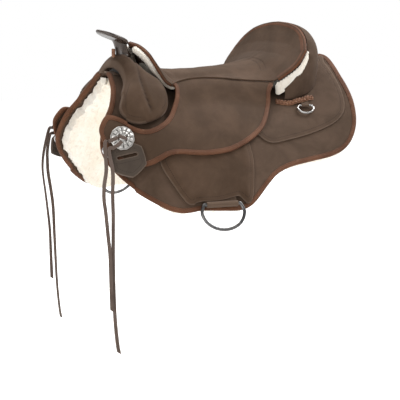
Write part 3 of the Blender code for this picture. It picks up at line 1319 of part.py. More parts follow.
def main():
    for old in list(bpy.data.objects):
        bpy.data.objects.remove(old, do_unlink=True)
    kit = {
        "leather": colour("brown_leather", (0.075, 0.048, 0.036), 0.75),
        "binding": colour("rust_binding", (0.20, 0.075, 0.035), 0.7),
        "fleece": colour("cream_fleece", (0.80, 0.76, 0.66), 0.95),
        "felt": colour("grey_felt", (0.35, 0.33, 0.30), 0.95),
        "foam": colour("seat_foam", (0.55, 0.53, 0.48), 0.9),
        "stiffener": colour("arch_laminate", (0.06, 0.06, 0.06), 0.5),
        "lacquer": colour("horn_lacquer", (0.03, 0.025, 0.022), 0.2, 0.4),
        "steel": colour("bright_steel", (0.60, 0.60, 0.60), 0.25, 1.0),
        "dark_steel": colour("dark_steel", (0.12, 0.12, 0.13), 0.3, 1.0),
        "silver": colour("concho_silver", (0.75, 0.73, 0.70), 0.3, 1.0),
        "lace": colour("brown_lace", (0.06, 0.035, 0.025), 0.7),
        "webbing": colour("black_webbing", (0.02, 0.02, 0.02), 0.8),
    }
    for side, word in ((NEAR, "near"), (FAR, "far")):
        build_side(side, word, kit)
    build_spine_web(kit["leather"])
    build_stirrup_webbing(kit["webbing"])
    build_fork(kit)
    build_seat(kit)
    build_cantle(kit)


main()
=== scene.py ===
"""A treeless saddle with a horn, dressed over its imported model.

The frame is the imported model's: +X to the back of the saddle, +Z up, and the near side
at -Y. Every soft piece is cut as a flat pattern on (x, s), where s is the way down from
the back line of the horse, and is then laid on the horse's side at its height n.
"""
import logging
import math
from collections.abc import Callable, Sequence
from dataclasses import dataclass, replace
from enum import Enum

import bmesh
import bpy
import numpy as np
from mathutils import Matrix, Vector, noise
from mathutils.geometry import delaunay_2d_cdt


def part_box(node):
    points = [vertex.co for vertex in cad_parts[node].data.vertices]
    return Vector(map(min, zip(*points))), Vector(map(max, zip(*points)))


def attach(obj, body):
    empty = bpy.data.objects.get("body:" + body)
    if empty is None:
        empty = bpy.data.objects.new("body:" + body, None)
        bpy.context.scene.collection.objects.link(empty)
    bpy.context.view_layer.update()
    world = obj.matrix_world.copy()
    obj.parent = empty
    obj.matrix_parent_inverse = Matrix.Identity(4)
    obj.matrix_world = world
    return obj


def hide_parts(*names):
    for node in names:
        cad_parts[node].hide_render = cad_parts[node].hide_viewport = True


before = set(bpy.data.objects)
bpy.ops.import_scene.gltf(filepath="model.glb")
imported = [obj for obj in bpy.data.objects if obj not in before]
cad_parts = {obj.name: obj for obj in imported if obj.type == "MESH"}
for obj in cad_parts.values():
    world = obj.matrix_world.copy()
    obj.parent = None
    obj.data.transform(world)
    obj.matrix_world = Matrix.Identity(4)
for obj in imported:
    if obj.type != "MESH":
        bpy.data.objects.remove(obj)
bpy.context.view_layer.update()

MM = 0.001
CLEAR = 0.3 * MM
UNSEWN = 50 * MM
SIDES = {"near": -1, "far": 1}
log = logging.getLogger("saddle")
Rows = np.ndarray
Height = Callable[[Rows, Rows], Rows] | float


def smooth(share: Rows) -> Rows:
    """A soft step from 0 to 1."""
    share = np.clip(share, 0, 1)
    return share * share * (3 - 2 * share)


def bell(away: Rows) -> Rows:
    """A bell curve, 1 at 0."""
    return np.exp(-away ** 2)


def side_by_side(*columns: Rows | float) -> Rows:
    """Columns as rows; a single value fills its whole column."""
    return np.stack(np.broadcast_arrays(*columns), 1).astype(float)


def unit(rows: Rows) -> Rows:
    """Rows scaled to length 1."""
    return rows / np.linalg.norm(rows, axis=-1, keepdims=True)


def full_turn(count: int) -> Rows:
    """Angles spaced evenly round a circle."""
    return np.linspace(0, math.tau, count, endpoint=False)


def run_of(path: Rows) -> Rows:
    """How far along a path each of its points is."""
    return np.concatenate([[0], np.cumsum(np.linalg.norm(np.diff(path, axis=0), axis=1))])


@dataclass(frozen=True)
class HorseSide:
    """The curved form that every layer lies on; pairs are values at its front and rear."""

    length: float = 300 * MM
    drop: float = 320 * MM
    span: float = 280 * MM
    step: float = 1 * MM
    slices: int = 14
    ridge_turns: tuple[float, float] = (30 * MM, 80 * MM)
    rib_turns: tuple[float, float] = (220 * MM, 340 * MM)
    ridge_angles: tuple[float, float] = (math.radians(40), math.radians(14))
    rib_angles: tuple[float, float] = (math.radians(66), math.radians(52))
    rises: tuple[float, float] = (30 * MM, 62 * MM)
    neck_x: float = -215 * MM
    neck_fade: float = 165 * MM
    neck_share: float = 0.32

    def slope(self, x: Rows, s: Rows) -> Rows:
        """How steeply the side falls.

        Args:
            x: Places along the back.
            s: Ways down from the back line.

        Returns:
            Angles in radians.
        """
        along = np.clip((x + self.span) / (2 * self.span), 0, 1)
        ridge_turn, rib_turn, ridge, rib = (
            front + (rear - front) * along
            for front, rear in (self.ridge_turns, self.rib_turns, self.ridge_angles,
                                self.rib_angles))
        return ridge * smooth(s / ridge_turn) + (rib - ridge) * smooth(s / rib_turn)

    def hide(self, x: Rows, s: Rows) -> Rows:
        """Points of the side itself.

        Args:
            x: Places along the back.
            s: Ways down, not negative.

        Returns:
            One row of x, y, z for each place, on the far side.
        """
        steps = (np.arange(self.slices) + 0.5) / self.slices
        turns = self.slope(x[:, None], s[:, None] * steps)
        narrow = 1 - self.neck_share * smooth((self.neck_x - x) / self.neck_fade)
        back_line = np.where(x < 0, *self.rises) * (x / self.span) ** 2
        return side_by_side(x, narrow * np.cos(turns).mean(1) * s,
                            back_line - np.sin(turns).mean(1) * s)

    def normal(self, x: Rows, s: Rows) -> Rows:
        """Unit directions out of the side, one row for each place.

        Args:
            x: Places along the back.
            s: Ways down from the back line.

        Returns:
            The directions.
        """
        h = self.step
        along = self.hide(x + h, s) - self.hide(x - h, s)
        down = self.hide(x, s + h) - self.hide(x, np.maximum(s - h, 0))
        return unit(np.cross(along, down))

    def lay(self, flat: Rows, side: int = 1) -> Rows:
        """Puts pattern points on the side.

        Args:
            flat: Rows of x, s, n; a negative s crosses the back line.
            side: -1 for the near side, 1 for the far side.

        Returns:
            World points.
        """
        x, s, n = flat.T
        reach = np.abs(s)
        found = self.hide(x, reach) + n[:, None] * self.normal(x, reach)
        found[:, 1] *= np.where(s < 0, -side, side)
        return found

    def axes(self, x: float, s: float, level: bool) -> tuple[Rows, Rows, Rows]:
        """Unit axes back, down and out at a place on the far side.

        Args:
            x: Place along the back.
            s: Way down.
            level: True for a level back axis, False for one that follows the form.

        Returns:
            The three axes.
        """
        x0, s0 = np.array([x]), np.array([s])
        out = self.normal(x0, s0)[0]
        if level:
            back = np.array((out[1], -out[0], 0.0))
        else:
            back = (self.hide(x0 + self.step, s0) - self.hide(x0 - self.step, s0))[0]
            back -= out * (back @ out)
        back = unit(back)
        down = np.cross(back, out)
        return back, -down if down[2] > 0 else down, out


FORM = HorseSide()


def table(*rows: tuple[float, ...]) -> Rows:
    """A table of thousandths as rows of shares."""
    return np.array(rows) / 1000


PATTERN = np.array((FORM.length, FORM.drop))
SKIRT = table((-955, 10), (-960, 80), (-972, 170), (-1015, 300), (-1072, 410), (-1112, 520),
              (-1125, 610), (-1098, 685), (-1045, 745), (-990, 795), (-900, 868), (-830, 920),
              (-765, 965), (-700, 988), (-625, 990), (-545, 984), (-400, 1003), (-290, 1018),
              (-225, 1010), (-160, 978), (-50, 895), (27, 846), (112, 823), (210, 823), (330, 840),
              (471, 865), (570, 862), (650, 820), (715, 741), (765, 618), (793, 493), (815, 379),
              (850, 250), (885, 120), (895, 10)) * PATTERN
REAR_PAD = table((-60, 300), (-80, 450), (-73, 543), (-10, 567), (25, 610), (85, 641), (200, 652),
                 (395, 671), (545, 678), (635, 660), (692, 612), (735, 508), (775, 350),
                 (810, 200), (830, 80), (300, 75), (0, 140)) * PATTERN
COVER = table((-740, 540), (-765, 662), (-727, 787), (-673, 896), (-640, 940), (-603, 948),
              (-570, 936), (-430, 946), (-290, 936), (-255, 965), (-232, 992), (-205, 985),
              (-172, 932), (-123, 777), (-105, 667), (-140, 560), (-430, 500)) * PATTERN
JOCKEY = table((-555, 200), (-560, 250), (-589, 306), (-644, 378), (-693, 418), (-771, 461),
               (-832, 471), (-891, 451), (-963, 413), (-1025, 398), (-1077, 408), (-1115, 456),
               (-1136, 506), (-1125, 555), (-1100, 600), (-1070, 640), (-1020, 672), (-950, 690),
               (-880, 693), (-818, 683), (-765, 657), (-701, 628), (-617, 626), (-489, 643),
               (-385, 649), (-253, 643), (-114, 606), (-3, 556), (70, 499), (130, 430), (173, 370),
               (200, 320)) * PATTERN
FORK = table((-800, 0), (-790, 25), (-745, 62), (-690, 105), (-640, 150), (-620, 225), (-631, 295),
             (-664, 355), (-735, 400), (-825, 428), (-895, 424), (-948, 396), (-972, 355),
             (-966, 312), (-932, 235), (-895, 151), (-890, 85), (-905, 35), (-915, 0)) * PATTERN
FORK_DART = table((-800, 35), (-803, 100), (-808, 180), (-800, 270), (-778, 365)) * PATTERN
PLAIT = table((240, 362), (290, 392), (345, 414), (430, 430), (516, 440)) * PATTERN
SEAT_SIZE = np.array((FORM.length, 142 * MM, 154 * MM))
SEAT_FRONT = table((-735, 0, 747), (-693, 141, 701), (-650, 282, 584), (-610, 408, 390),
                   (-587, 535, 247), (-573, 669, 188)) * SEAT_SIZE
SEAT_SEAM = table((-573, 669, 188), (-493, 606, 227), (-403, 570, 253), (-280, 556, 260),
                  (-153, 577, 247), (-30, 634, 221), (133, 725, 201), (227, 796, 201)) * SEAT_SIZE
RIM = table((507, 0, 1000), (503, 211, 987), (500, 430, 955), (490, 641, 896), (467, 845, 779),
            (430, 993, 617), (357, 1000, 435), (287, 908, 299), (227, 796, 201)) * SEAT_SIZE
CENTRE = table((-735, 747), (-683, 571), (-620, 429), (-533, 364), (-400, 351), (-233, 357),
               (-67, 377), (100, 409), (250, 468), (367, 571), (440, 714), (487, 883),
               (507, 1000)) * SEAT_SIZE[[0, 2]]
FOOT = table((717, 0), (710, 100), (690, 200), (643, 287), (583, 350), (507, 384), (420, 391),
             (327, 372), (247, 338)) * PATTERN
WEB = table((-915, 55), (-500, 55), (0, 55), (400, 55), (800, 30)) * PATTERN
LACES = {
    "front": (0.5, ((-0.40, 0.10), (-0.70, 0.28), (-1.05, 0.52), (-1.33, 0.75)),
              ((-1.175, 1.130, -0.246), (-1.190, 1.125, -0.310), (-1.189, 1.105, -0.366),
              (-1.178, 1.105, -0.420), (-1.163, 1.100, -0.510), (-1.150, 1.100, -0.600),
              (-1.146, 1.100, -0.720), (-1.143, 1.100, -0.820))),
    "rear": (-0.35, ((-0.05, 0.36), (-0.28, 0.66), (-0.62, 0.98), (-0.96, 1.22)),
             ((-1.140, 1.170, -0.246), (-1.140, 1.182, -0.290), (-1.140, 1.165, -0.345),
              (-1.128, 1.120, -0.430), (-1.122, 1.085, -0.504), (-1.120, 1.065, -0.650),
              (-1.112, 1.055, -0.840), (-1.096, 1.055, -0.960), (-1.084, 1.055, -1.004))),
}
HANGER = np.array(((-0.30856, -0.14065, -0.06854), (0.92237, -0.32837, -0.20348),
                   (-0.30268, -0.28705, -0.90884), (-0.24003, -0.89987, 0.36416)))
CONCHO = np.array(((3.0, -8.8, 0), (3.0, 0, 0), (22.6, 0, 0), (24.2, 0.3, 0.6), (24.4, 1.0, 1.0),
                   (23.8, 1.9, 1.0), (22.6, 2.15, 0.5), (21.9, 1.75, 0), (21.2, 1.9, 0.3),
                   (19.6, 2.5, 1.2), (17.4, 3.05, 1.6), (15.2, 3.5, 1.0), (14.4, 3.4, 0),
                   (13.6, 3.75, 0.4), (11.2, 4.3, 1.2), (8.6, 4.75, 0.8), (6.9, 4.7, 0),
                   (6.2, 5.0, 0), (4.0, 5.45, 0), (1.4, 5.6, 0)))
GROOVES = (21.9, 14.4, 6.9)


@dataclass(frozen=True)
class Layers:
    """Heights of the layers above the horse's side."""

    fleece: float = 12 * MM
    felt_top: float = 22.3 * MM
    skirt_under: float = 22.6 * MM
    skirt_top: float = 26.6 * MM
    on_skirt: float = 26.9 * MM
    pad_top: float = 30.4 * MM
    cover_rise: float = 9 * MM
    strap_lift: float = 6.2 * MM
    fork_under: float = 35.5 * MM


LAYERS = Layers()


def between(a: Rows, b: Rows, c: Rows, d: Rows, t: Rows) -> Rows:
    """Points on the smooth curve from b to c, with a before them and d after."""
    return 0.5 * (2 * b + (c - a) * t + (2 * a - 5 * b + 4 * c - d) * t ** 2
                  + (3 * b - a - 3 * c + d) * t ** 3)


def spline(points: Rows, count: int, closed: bool = False) -> Rows:
    """Points spaced evenly along a smooth curve.

    Args:
        points: Rows that the curve passes through.
        count: How many points to return.
        closed: True for a loop.

    Returns:
        The spaced points.
    """
    given = np.array(points, float)
    if closed:
        ends = np.vstack([given[-1], given, given[:2]])
    else:
        ends = np.vstack([2 * given[0] - given[1], given, 2 * given[-1] - given[-2]])
    shares = np.linspace(0, 1, 16, endpoint=False)[:, None]
    spans = zip(ends, ends[1:], ends[2:], ends[3:])
    rows = np.vstack([*(between(*span, shares) for span in spans),
                      given[0] if closed else given[-1]])
    along = run_of(rows)
    at = np.linspace(0, along[-1], count + 1 if closed else count)
    found = np.stack([np.interp(at, along, column) for column in rows.T], 1)
    return found[:-1] if closed else found


def along_rows(rows: Rows, share: Rows) -> Rows:
    """Smooth curve through a table's rows.

    Args:
        rows: The table.
        share: Shares of the way through it.

    Returns:
        One row for each share.
    """
    last = len(rows) - 1
    at = np.clip(share, 0, 1) * last
    k = np.minimum(at.astype(int), last - 1)
    b, c = rows[k], rows[k + 1]
    a = np.where((k > 0)[:, None], rows[np.maximum(k - 1, 0)], 2 * b - c)
    d = np.where((k + 2 <= last)[:, None], rows[np.minimum(k + 2, last)], 2 * c - b)
    return between(a, b, c, d, (at - k)[:, None])


def inside_by(outline: Rows, points: Rows) -> tuple[Rows, Rows]:
    """How far points lie inside an outline.

    Args:
        outline: A closed outline.
        points: The points, two columns.

    Returns:
        Distances, negative outside, and how far along the outline the nearest point is.
    """
    found = np.full(len(points), np.inf)
    run = np.zeros(len(points))
    inside = np.zeros(len(points), bool)
    start = 0.0
    for p, q in zip(outline, np.roll(outline, -1, axis=0)):
        way = q - p
        length = math.sqrt(float(way @ way)) + 1e-12
        share = np.clip(((points - p) @ way) / (length * length), 0, 1)
        away = np.linalg.norm(points - p - share[:, None] * way, axis=1)
        closer = away < found
        found = np.where(closer, away, found)
        run = np.where(closer, start + share * length, run)
        crosses = (p[1] > points[:, 1]) != (q[1] > points[:, 1])
        rise = np.where(crosses, q[1] - p[1], 1)
        inside ^= crosses & (points[:, 0] < p[0] + way[0] * (points[:, 1] - p[1]) / rise)
        start += length
    return np.where(inside, found, -found), run


def depth_in(outline: Rows, x: Rows, s: Rows) -> Rows:
    """How far inside an outline places are, negative outside."""
    return inside_by(outline, side_by_side(x, s))[0]


def travel(path: Rows, closed: bool) -> Rows:
    """Unit directions of travel at each point of a path.

    Args:
        path: The points.
        closed: True for a loop.

    Returns:
        The directions.
    """
    ahead, behind = np.roll(path, -1, axis=0), np.roll(path, 1, axis=0)
    if not closed:
        ahead[-1], behind[0] = path[-1], path[0]
    return unit(ahead - behind)


def leftwards(path: Rows, closed: bool) -> Rows:
    """Unit directions to the left of travel at each point of a pattern path."""
    along = travel(path, closed)
    return side_by_side(-along[:, 1], along[:, 0])


def inset(path: Rows, distance: float | Rows, closed: bool) -> Rows:
    """A path moved to its left by a distance, one value or a column of values."""
    return path + leftwards(path, closed) * distance


def square_to(rows: Rows, along: Rows) -> Rows:
    """Rows made square to unit directions and scaled to length 1."""
    return unit(rows - along * (rows * along).sum(1)[:, None])


def circle(count: int) -> Rows:
    """Rows of (cos, sin) round a circle."""
    turns = full_turn(count)
    return side_by_side(np.cos(turns), np.sin(turns))


def swept(middle: Rows, across: Rows, up: Rows, section: Rows) -> Rows:
    """A section set at each station of a path.

    Args:
        middle: World points of the stations.
        across: The section's first axis at each.
        up: Its second axis at each.
        section: Rows of two columns, for all stations or for each one.

    Returns:
        Rings for a tube.
    """
    return middle[:, None] + across[:, None] * section[..., :1] + up[:, None] * section[..., 1:]


def link(name: str, data: bpy.types.ID) -> bpy.types.Object:
    """A new object in the scene.

    Args:
        name: Its name.
        data: Its mesh, camera or lamp.

    Returns:
        The object.
    """
    found = bpy.data.objects.new(name, data)
    bpy.context.scene.collection.objects.link(found)
    return found


def make_mesh(name: str, places: Rows, faces: Sequence[Sequence[int]]) -> bpy.types.Object:
    """A new object from points and faces.

    Args:
        name: The piece's name.
        places: World or pattern points.
        faces: Point numbers of each face.

    Returns:
        The object.
    """
    data = bpy.data.meshes.new(name)
    data.from_pydata([tuple(p) for p in places], [], [tuple(f) for f in faces])
    data.update()
    return link(name, data)


def primitive(name: str, add: Callable[..., set[str]], **settings: object) -> bpy.types.Object:
    """A mesh primitive under a new name.

    Args:
        name: The piece's name.
        add: Blender's operator.
        settings: The operator's settings.

    Returns:
        The object, selected and active.
    """
    bpy.ops.object.select_all(action="DESELECT")
    add(**settings)
    piece = bpy.context.active_object
    piece.name = piece.data.name = name
    return piece


def only(piece: bpy.types.Object) -> None:
    """Selects one object and makes it the active one.

    Args:
        piece: The piece.
    """
    bpy.ops.object.select_all(action="DESELECT")
    piece.select_set(True)
    bpy.context.view_layer.objects.active = piece


def joined(piece: bpy.types.Object, others: Sequence[bpy.types.Object]) -> bpy.types.Object:
    """A piece with others joined to it.

    Args:
        piece: The piece.
        others: What is joined to it.

    Returns:
        The piece.
    """
    only(piece)
    for other in others:
        other.select_set(True)
    bpy.ops.object.join()
    return piece


Step = tuple[str, dict[str, object]]
DIVIDE: Step = ("SUBSURF", {"levels": 1, "render_levels": 1})


def thicken(thickness: float, offset: float) -> Step:
    """The step that gives a sheet its thickness."""
    return "SOLIDIFY", {"thickness": thickness, "offset": offset}


def bevel(width: float, **more: object) -> Step:
    """The step that rounds a piece's sharp edges."""
    return "BEVEL", {"width": width, "segments": 2, "limit_method": "ANGLE", **more}


def finish_with(piece: bpy.types.Object, *steps: Step) -> None:
    """Adds modifiers to a piece and applies each.

    Args:
        piece: The piece.
        steps: Pairs of a modifier's type and its settings.
    """
    only(piece)
    for kind, settings in steps:
        change = piece.modifiers.new(kind.lower(), kind)
        for key, value in settings.items():
            setattr(change, key, value)
        bpy.ops.object.modifier_apply(modifier=change.name)


def outward(piece: bpy.types.Object) -> None:
    """Turns a closed piece's faces outwards.

    Args:
        piece: The piece.
    """
    form = bmesh.new()
    form.from_mesh(piece.data)
    bmesh.ops.recalc_face_normals(form, faces=form.faces)
    form.to_mesh(piece.data)
    form.free()


def places_of(piece: bpy.types.Object) -> Rows:
    """A piece's points as rows.

    Args:
        piece: The piece.

    Returns:
        One row for each point.
    """
    flat = np.empty(3 * len(piece.data.vertices))
    piece.data.vertices.foreach_get("co", flat)
    return flat.reshape(-1, 3)


def move_to(piece: bpy.types.Object, places: Rows) -> None:
    """Moves a piece's points to new places."""
    piece.data.vertices.foreach_set("co", places.astype(float).ravel())
    piece.data.update()


def mark(piece: bpy.types.Object, name: str, values: Rows | float) -> None:
    """Writes one value for each point of a piece."""
    layer = piece.data.attributes.get(name) or piece.data.attributes.new(name, "FLOAT", "POINT")
    layer.data.foreach_set("value", np.zeros(len(piece.data.vertices)) + values)


def write_uv(piece: bpy.types.Object, pairs: Rows) -> None:
    """Writes a UV map from one pair for each point.

    Args:
        piece: The piece.
        pairs: Two columns, in metres.
    """
    layer = piece.data.uv_layers.get("UVMap") or piece.data.uv_layers.new(name="UVMap")
    corners = np.empty(len(piece.data.loops), int)
    piece.data.loops.foreach_get("vertex_index", corners)
    layer.data.foreach_set("uv", pairs[corners].ravel())


def ripple(places: Rows, scale: float, seed: float) -> Rows:
    """Soft noise from about -1 to 1 at points.

    Args:
        places: World points.
        scale: Waves for each metre.
        seed: Moves the noise.

    Returns:
        One value for each point.
    """
    shift = Vector((seed, 2 * seed, -seed))
    return np.array([noise.noise(Vector(p) * scale + shift) for p in places])


class Finish(Enum):
    """The finishes of the saddle's pieces."""

    NUBUCK = "brown_leather"
    # Partly a paler leather, partly painted light on pieces that face the light from above and
    # behind.
    PALE = "pale_and_lit_brown_leather"
    SMOOTH = "tab_leather"
    RUST = "rust_leather"
    PLAITED = "plaited_leather"
    FLEECE = "cream_fleece"
    FELT = "grey_felt"
    FOAM = "seat_foam"
    LAMINATE = "stiffener"
    LACQUER = "horn_lacquer"
    STEEL = "bright_steel"
    GUNMETAL = "dark_steel"
    SILVER = "engraved_silver"
    LACE = "brown_lace"
    WEBBING = "black_webbing"


class Wiring:
    """Adds and joins nodes in one tree."""

    def __init__(self, tree: bpy.types.NodeTree) -> None:
        """Keeps the tree."""
        self.tree = tree

    def feed(self, socket: bpy.types.NodeSocket, value: object) -> None:
        """Links a source socket to a socket, or sets its value."""
        if isinstance(value, bpy.types.NodeSocket):
            self.tree.links.new(value, socket)
        else:
            socket.default_value = value

    def feed_all(self, sockets: Sequence[bpy.types.NodeSocket], *values: object) -> None:
        """Feeds a node's first sockets in order."""
        for socket, value in zip(sockets, values):
            self.feed(socket, value)

    def put(self, node: bpy.types.Node, **inputs: object) -> None:
        """Feeds a node's sockets by name, with _ for each space."""
        for key, value in inputs.items():
            self.feed(node.inputs[key.replace("_", " ")], value)

    def add(self, kind: str, settings: dict[str, object] | None = None,
            **inputs: object) -> bpy.types.Node:
        """A node with its settings and inputs.

        Args:
            kind: The node's type, without its first words.
            settings: The node's own properties.
            inputs: Socket values or source sockets, with _ for each space.

        Returns:
            The node.
        """
        node = self.tree.nodes.new("ShaderNode" + kind)
        for key, value in (settings or {}).items():
            setattr(node, key, value)
        self.put(node, **inputs)
        return node

    def math(self, operation: str, *values: object) -> bpy.types.NodeSocket:
        """The result of a Math node on sockets or numbers.

        Args:
            operation: The node's operation.
            values: Its inputs.

        Returns:
            The result's socket.
        """
        node = self.add("Math", {"operation": operation})
        self.feed_all(node.inputs, *values)
        return node.outputs[0]

    def ramp(self, value: bpy.types.NodeSocket, low: float, high: float) -> bpy.types.NodeSocket:
        """A soft step up of a value between two limits."""
        return self.add("MapRange", {"interpolation_type": "SMOOTHSTEP"}, Value=value,
                        From_Min=low, From_Max=high).outputs[0]

    def fade(self, value: bpy.types.NodeSocket, low: float, high: float) -> bpy.types.NodeSocket:
        """A soft step down of a value between two limits."""
        return self.math("SUBTRACT", 1.0, self.ramp(value, low, high))

    def attribute(self, name: str) -> bpy.types.NodeSocket:
        """A value written on the piece's points."""
        return self.add("Attribute", {"attribute_name": name}).outputs["Fac"]

    def blend(self, share: object, first: object, second: object) -> bpy.types.NodeSocket:
        """A mix of two colours, with the share of the second.

        Args:
            share: How much of the second.
            first: A colour or socket.
            second: A colour or socket.

        Returns:
            The mixed colour's socket.
        """
        node = self.add("Mix", {"data_type": "RGBA"})
        self.feed_all([node.inputs[k] for k in (0, 6, 7)], share, first, second)
        return node.outputs[2]


class Effects:
    """Shader node groups that several finishes share."""

    def __init__(self) -> None:
        """Builds each group once."""
        self.groups = {build.__name__: build() for build in
                       (self.grain, self.mottle, self.pile, self.stitches, self.weave)}

    def group(self, name: str, inputs: dict[str, float | None], outputs: Sequence[str]
              ) -> tuple[Wiring, Sequence[bpy.types.NodeSocket], Sequence[bpy.types.NodeSocket]]:
        """An empty shader node group.

        Args:
            name: The group's name.
            inputs: Names with defaults; one without a default is a vector.
            outputs: Names of the value outputs.

        Returns:
            The wiring, the sockets that it is given and the sockets that it fills.
        """
        tree = bpy.data.node_groups.new(name, "ShaderNodeTree")
        for key, default in inputs.items():
            kind = "NodeSocketVector" if default is None else "NodeSocketFloat"
            socket = tree.interface.new_socket(name=key, in_out="INPUT", socket_type=kind)
            if default is not None:
                socket.default_value = default
        for key in outputs:
            tree.interface.new_socket(name=key, in_out="OUTPUT", socket_type="NodeSocketFloat")
        return (Wiring(tree), tree.nodes.new("NodeGroupInput").outputs,
                tree.nodes.new("NodeGroupOutput").inputs)

    def grain(self) -> bpy.types.NodeTree:
        """Fine leather grain: pores and creases as a height.

        Returns:
            The group.
        """
        wires, (where, scale, *_), result = self.group(
            "leather_grain", {"Vector": None, "Scale": 900.0}, ["Height"])
        cells = wires.add("TexVoronoi", {"feature": "DISTANCE_TO_EDGE"}, Vector=where,
                          Scale=scale)
        fine = wires.add("TexNoise", Vector=where, Scale=scale, Detail=5.0, Roughness=0.65)
        wires.feed_all(result, wires.math("MULTIPLY_ADD", wires.ramp(cells.outputs[0], 0.0, 0.35),
                                          0.5, fine.outputs[0]))
        return wires.tree

    def mottle(self) -> bpy.types.NodeTree:
        """Large cloudy changes and small scuffs, each as a mask.

        Returns:
            The group.
        """
        wires, (where, scale, *_), result = self.group(
            "mottle", {"Vector": None, "Scale": 14.0}, ["Cloud", "Scuff"])
        cloud = wires.add("TexNoise", Vector=where, Scale=scale, Detail=4.0, Roughness=0.6,
                          Distortion=0.4)
        scuff = wires.add("TexNoise", Vector=where, Scale=wires.math("MULTIPLY", scale, 7.0),
                          Detail=8.0, Roughness=0.72)
        wires.feed_all(result, wires.ramp(cloud.outputs[0], 0.30, 0.72),
                       wires.ramp(scuff.outputs[0], 0.56, 0.74))
        return wires.tree

    def pile(self) -> bpy.types.NodeTree:
        """Curly fleece: locks and hairs as a height, and the gaps between locks as a mask for
        painted shade.

        Returns:
            The group.
        """
        wires, (where, scale, *_), result = self.group(
            "pile", {"Vector": None, "Scale": 160.0}, ["Height", "Gap Shade"])
        bent = wires.add("TexNoise", Vector=where, Scale=scale, Detail=3.0)
        shift = wires.add("VectorMath", {"operation": "SCALE"}, Vector=bent.outputs[1],
                          Scale=0.008)
        moved = wires.add("VectorMath", {"operation": "ADD"})
        wires.feed_all(moved.inputs, where, shift.outputs[0])
        locks = wires.add("TexVoronoi", {"feature": "SMOOTH_F1"}, Vector=moved.outputs[0],
                          Scale=scale)
        hairs = wires.add("TexNoise", Vector=moved.outputs[0],
                          Scale=wires.math("MULTIPLY", scale, 6.0), Detail=6.0, Roughness=0.7)
        lock = wires.math("SUBTRACT", 1.0, locks.outputs[0])
        wires.feed_all(result, wires.math("MULTIPLY_ADD", hairs.outputs[0], 0.45, lock),
                       wires.ramp(locks.outputs[0], 0.45, 0.85))
        return wires.tree

    def stitches(self) -> bpy.types.NodeTree:
        """A row of stitches: the run along it and the way across it, in metres.

        Returns:
            The group.
        """
        wires, (run, across, pitch, *_), result = self.group(
            "stitches", {"Run": 0.0, "Across": 0.0, "Pitch": 4.2 * MM}, ["Thread", "Groove"])
        phase = wires.math("FRACT", wires.math("DIVIDE", run, pitch))
        along = wires.math("ABSOLUTE", wires.math("SUBTRACT", phase, 0.5))
        aside = wires.math("ABSOLUTE", across)
        thread = wires.math("MULTIPLY", wires.fade(along, 0.30, 0.38),
                            wires.fade(aside, 0.35 * MM, 0.6 * MM))
        wires.feed_all(result, thread, wires.fade(aside, 0.4 * MM, 1.2 * MM))
        return wires.tree

    def weave(self) -> bpy.types.NodeTree:
        """A plain weave as a height.

        Returns:
            The group.
        """
        wires, (where, scale, *_), result = self.group(
            "weave", {"Vector": None, "Scale": 600.0}, ["Height"])
        waves = [wires.add("TexWave", {"bands_direction": way}, Vector=where,
                           Scale=scale).outputs[1] for way in ("X", "Y")]
        wires.feed_all(result, wires.math("MAXIMUM", *waves))
        return wires.tree


Colour = tuple[float, float, float]


@dataclass(frozen=True)
class Recipe:
    """What one finish is made of.

    The surface is an effect and its scale. The stitches are how far they lie from the edge
    and what the groove and the thread add to the height. Each tint is a mask, its share
    and its colour.
    """

    dark: Colour
    light: Colour
    roughness: float
    metallic: float = 0.0
    sheen: float = 0.0
    coat: float = 0.0
    specular: float = 0.5
    bump: float = 0.2
    bump_depth: float = 0.4 * MM
    surface: tuple[str, float] = ("grain", 1300.0)
    stitches: tuple[float, float, float] | None = None
    tints: tuple[tuple[str, float, Colour], ...] = ()


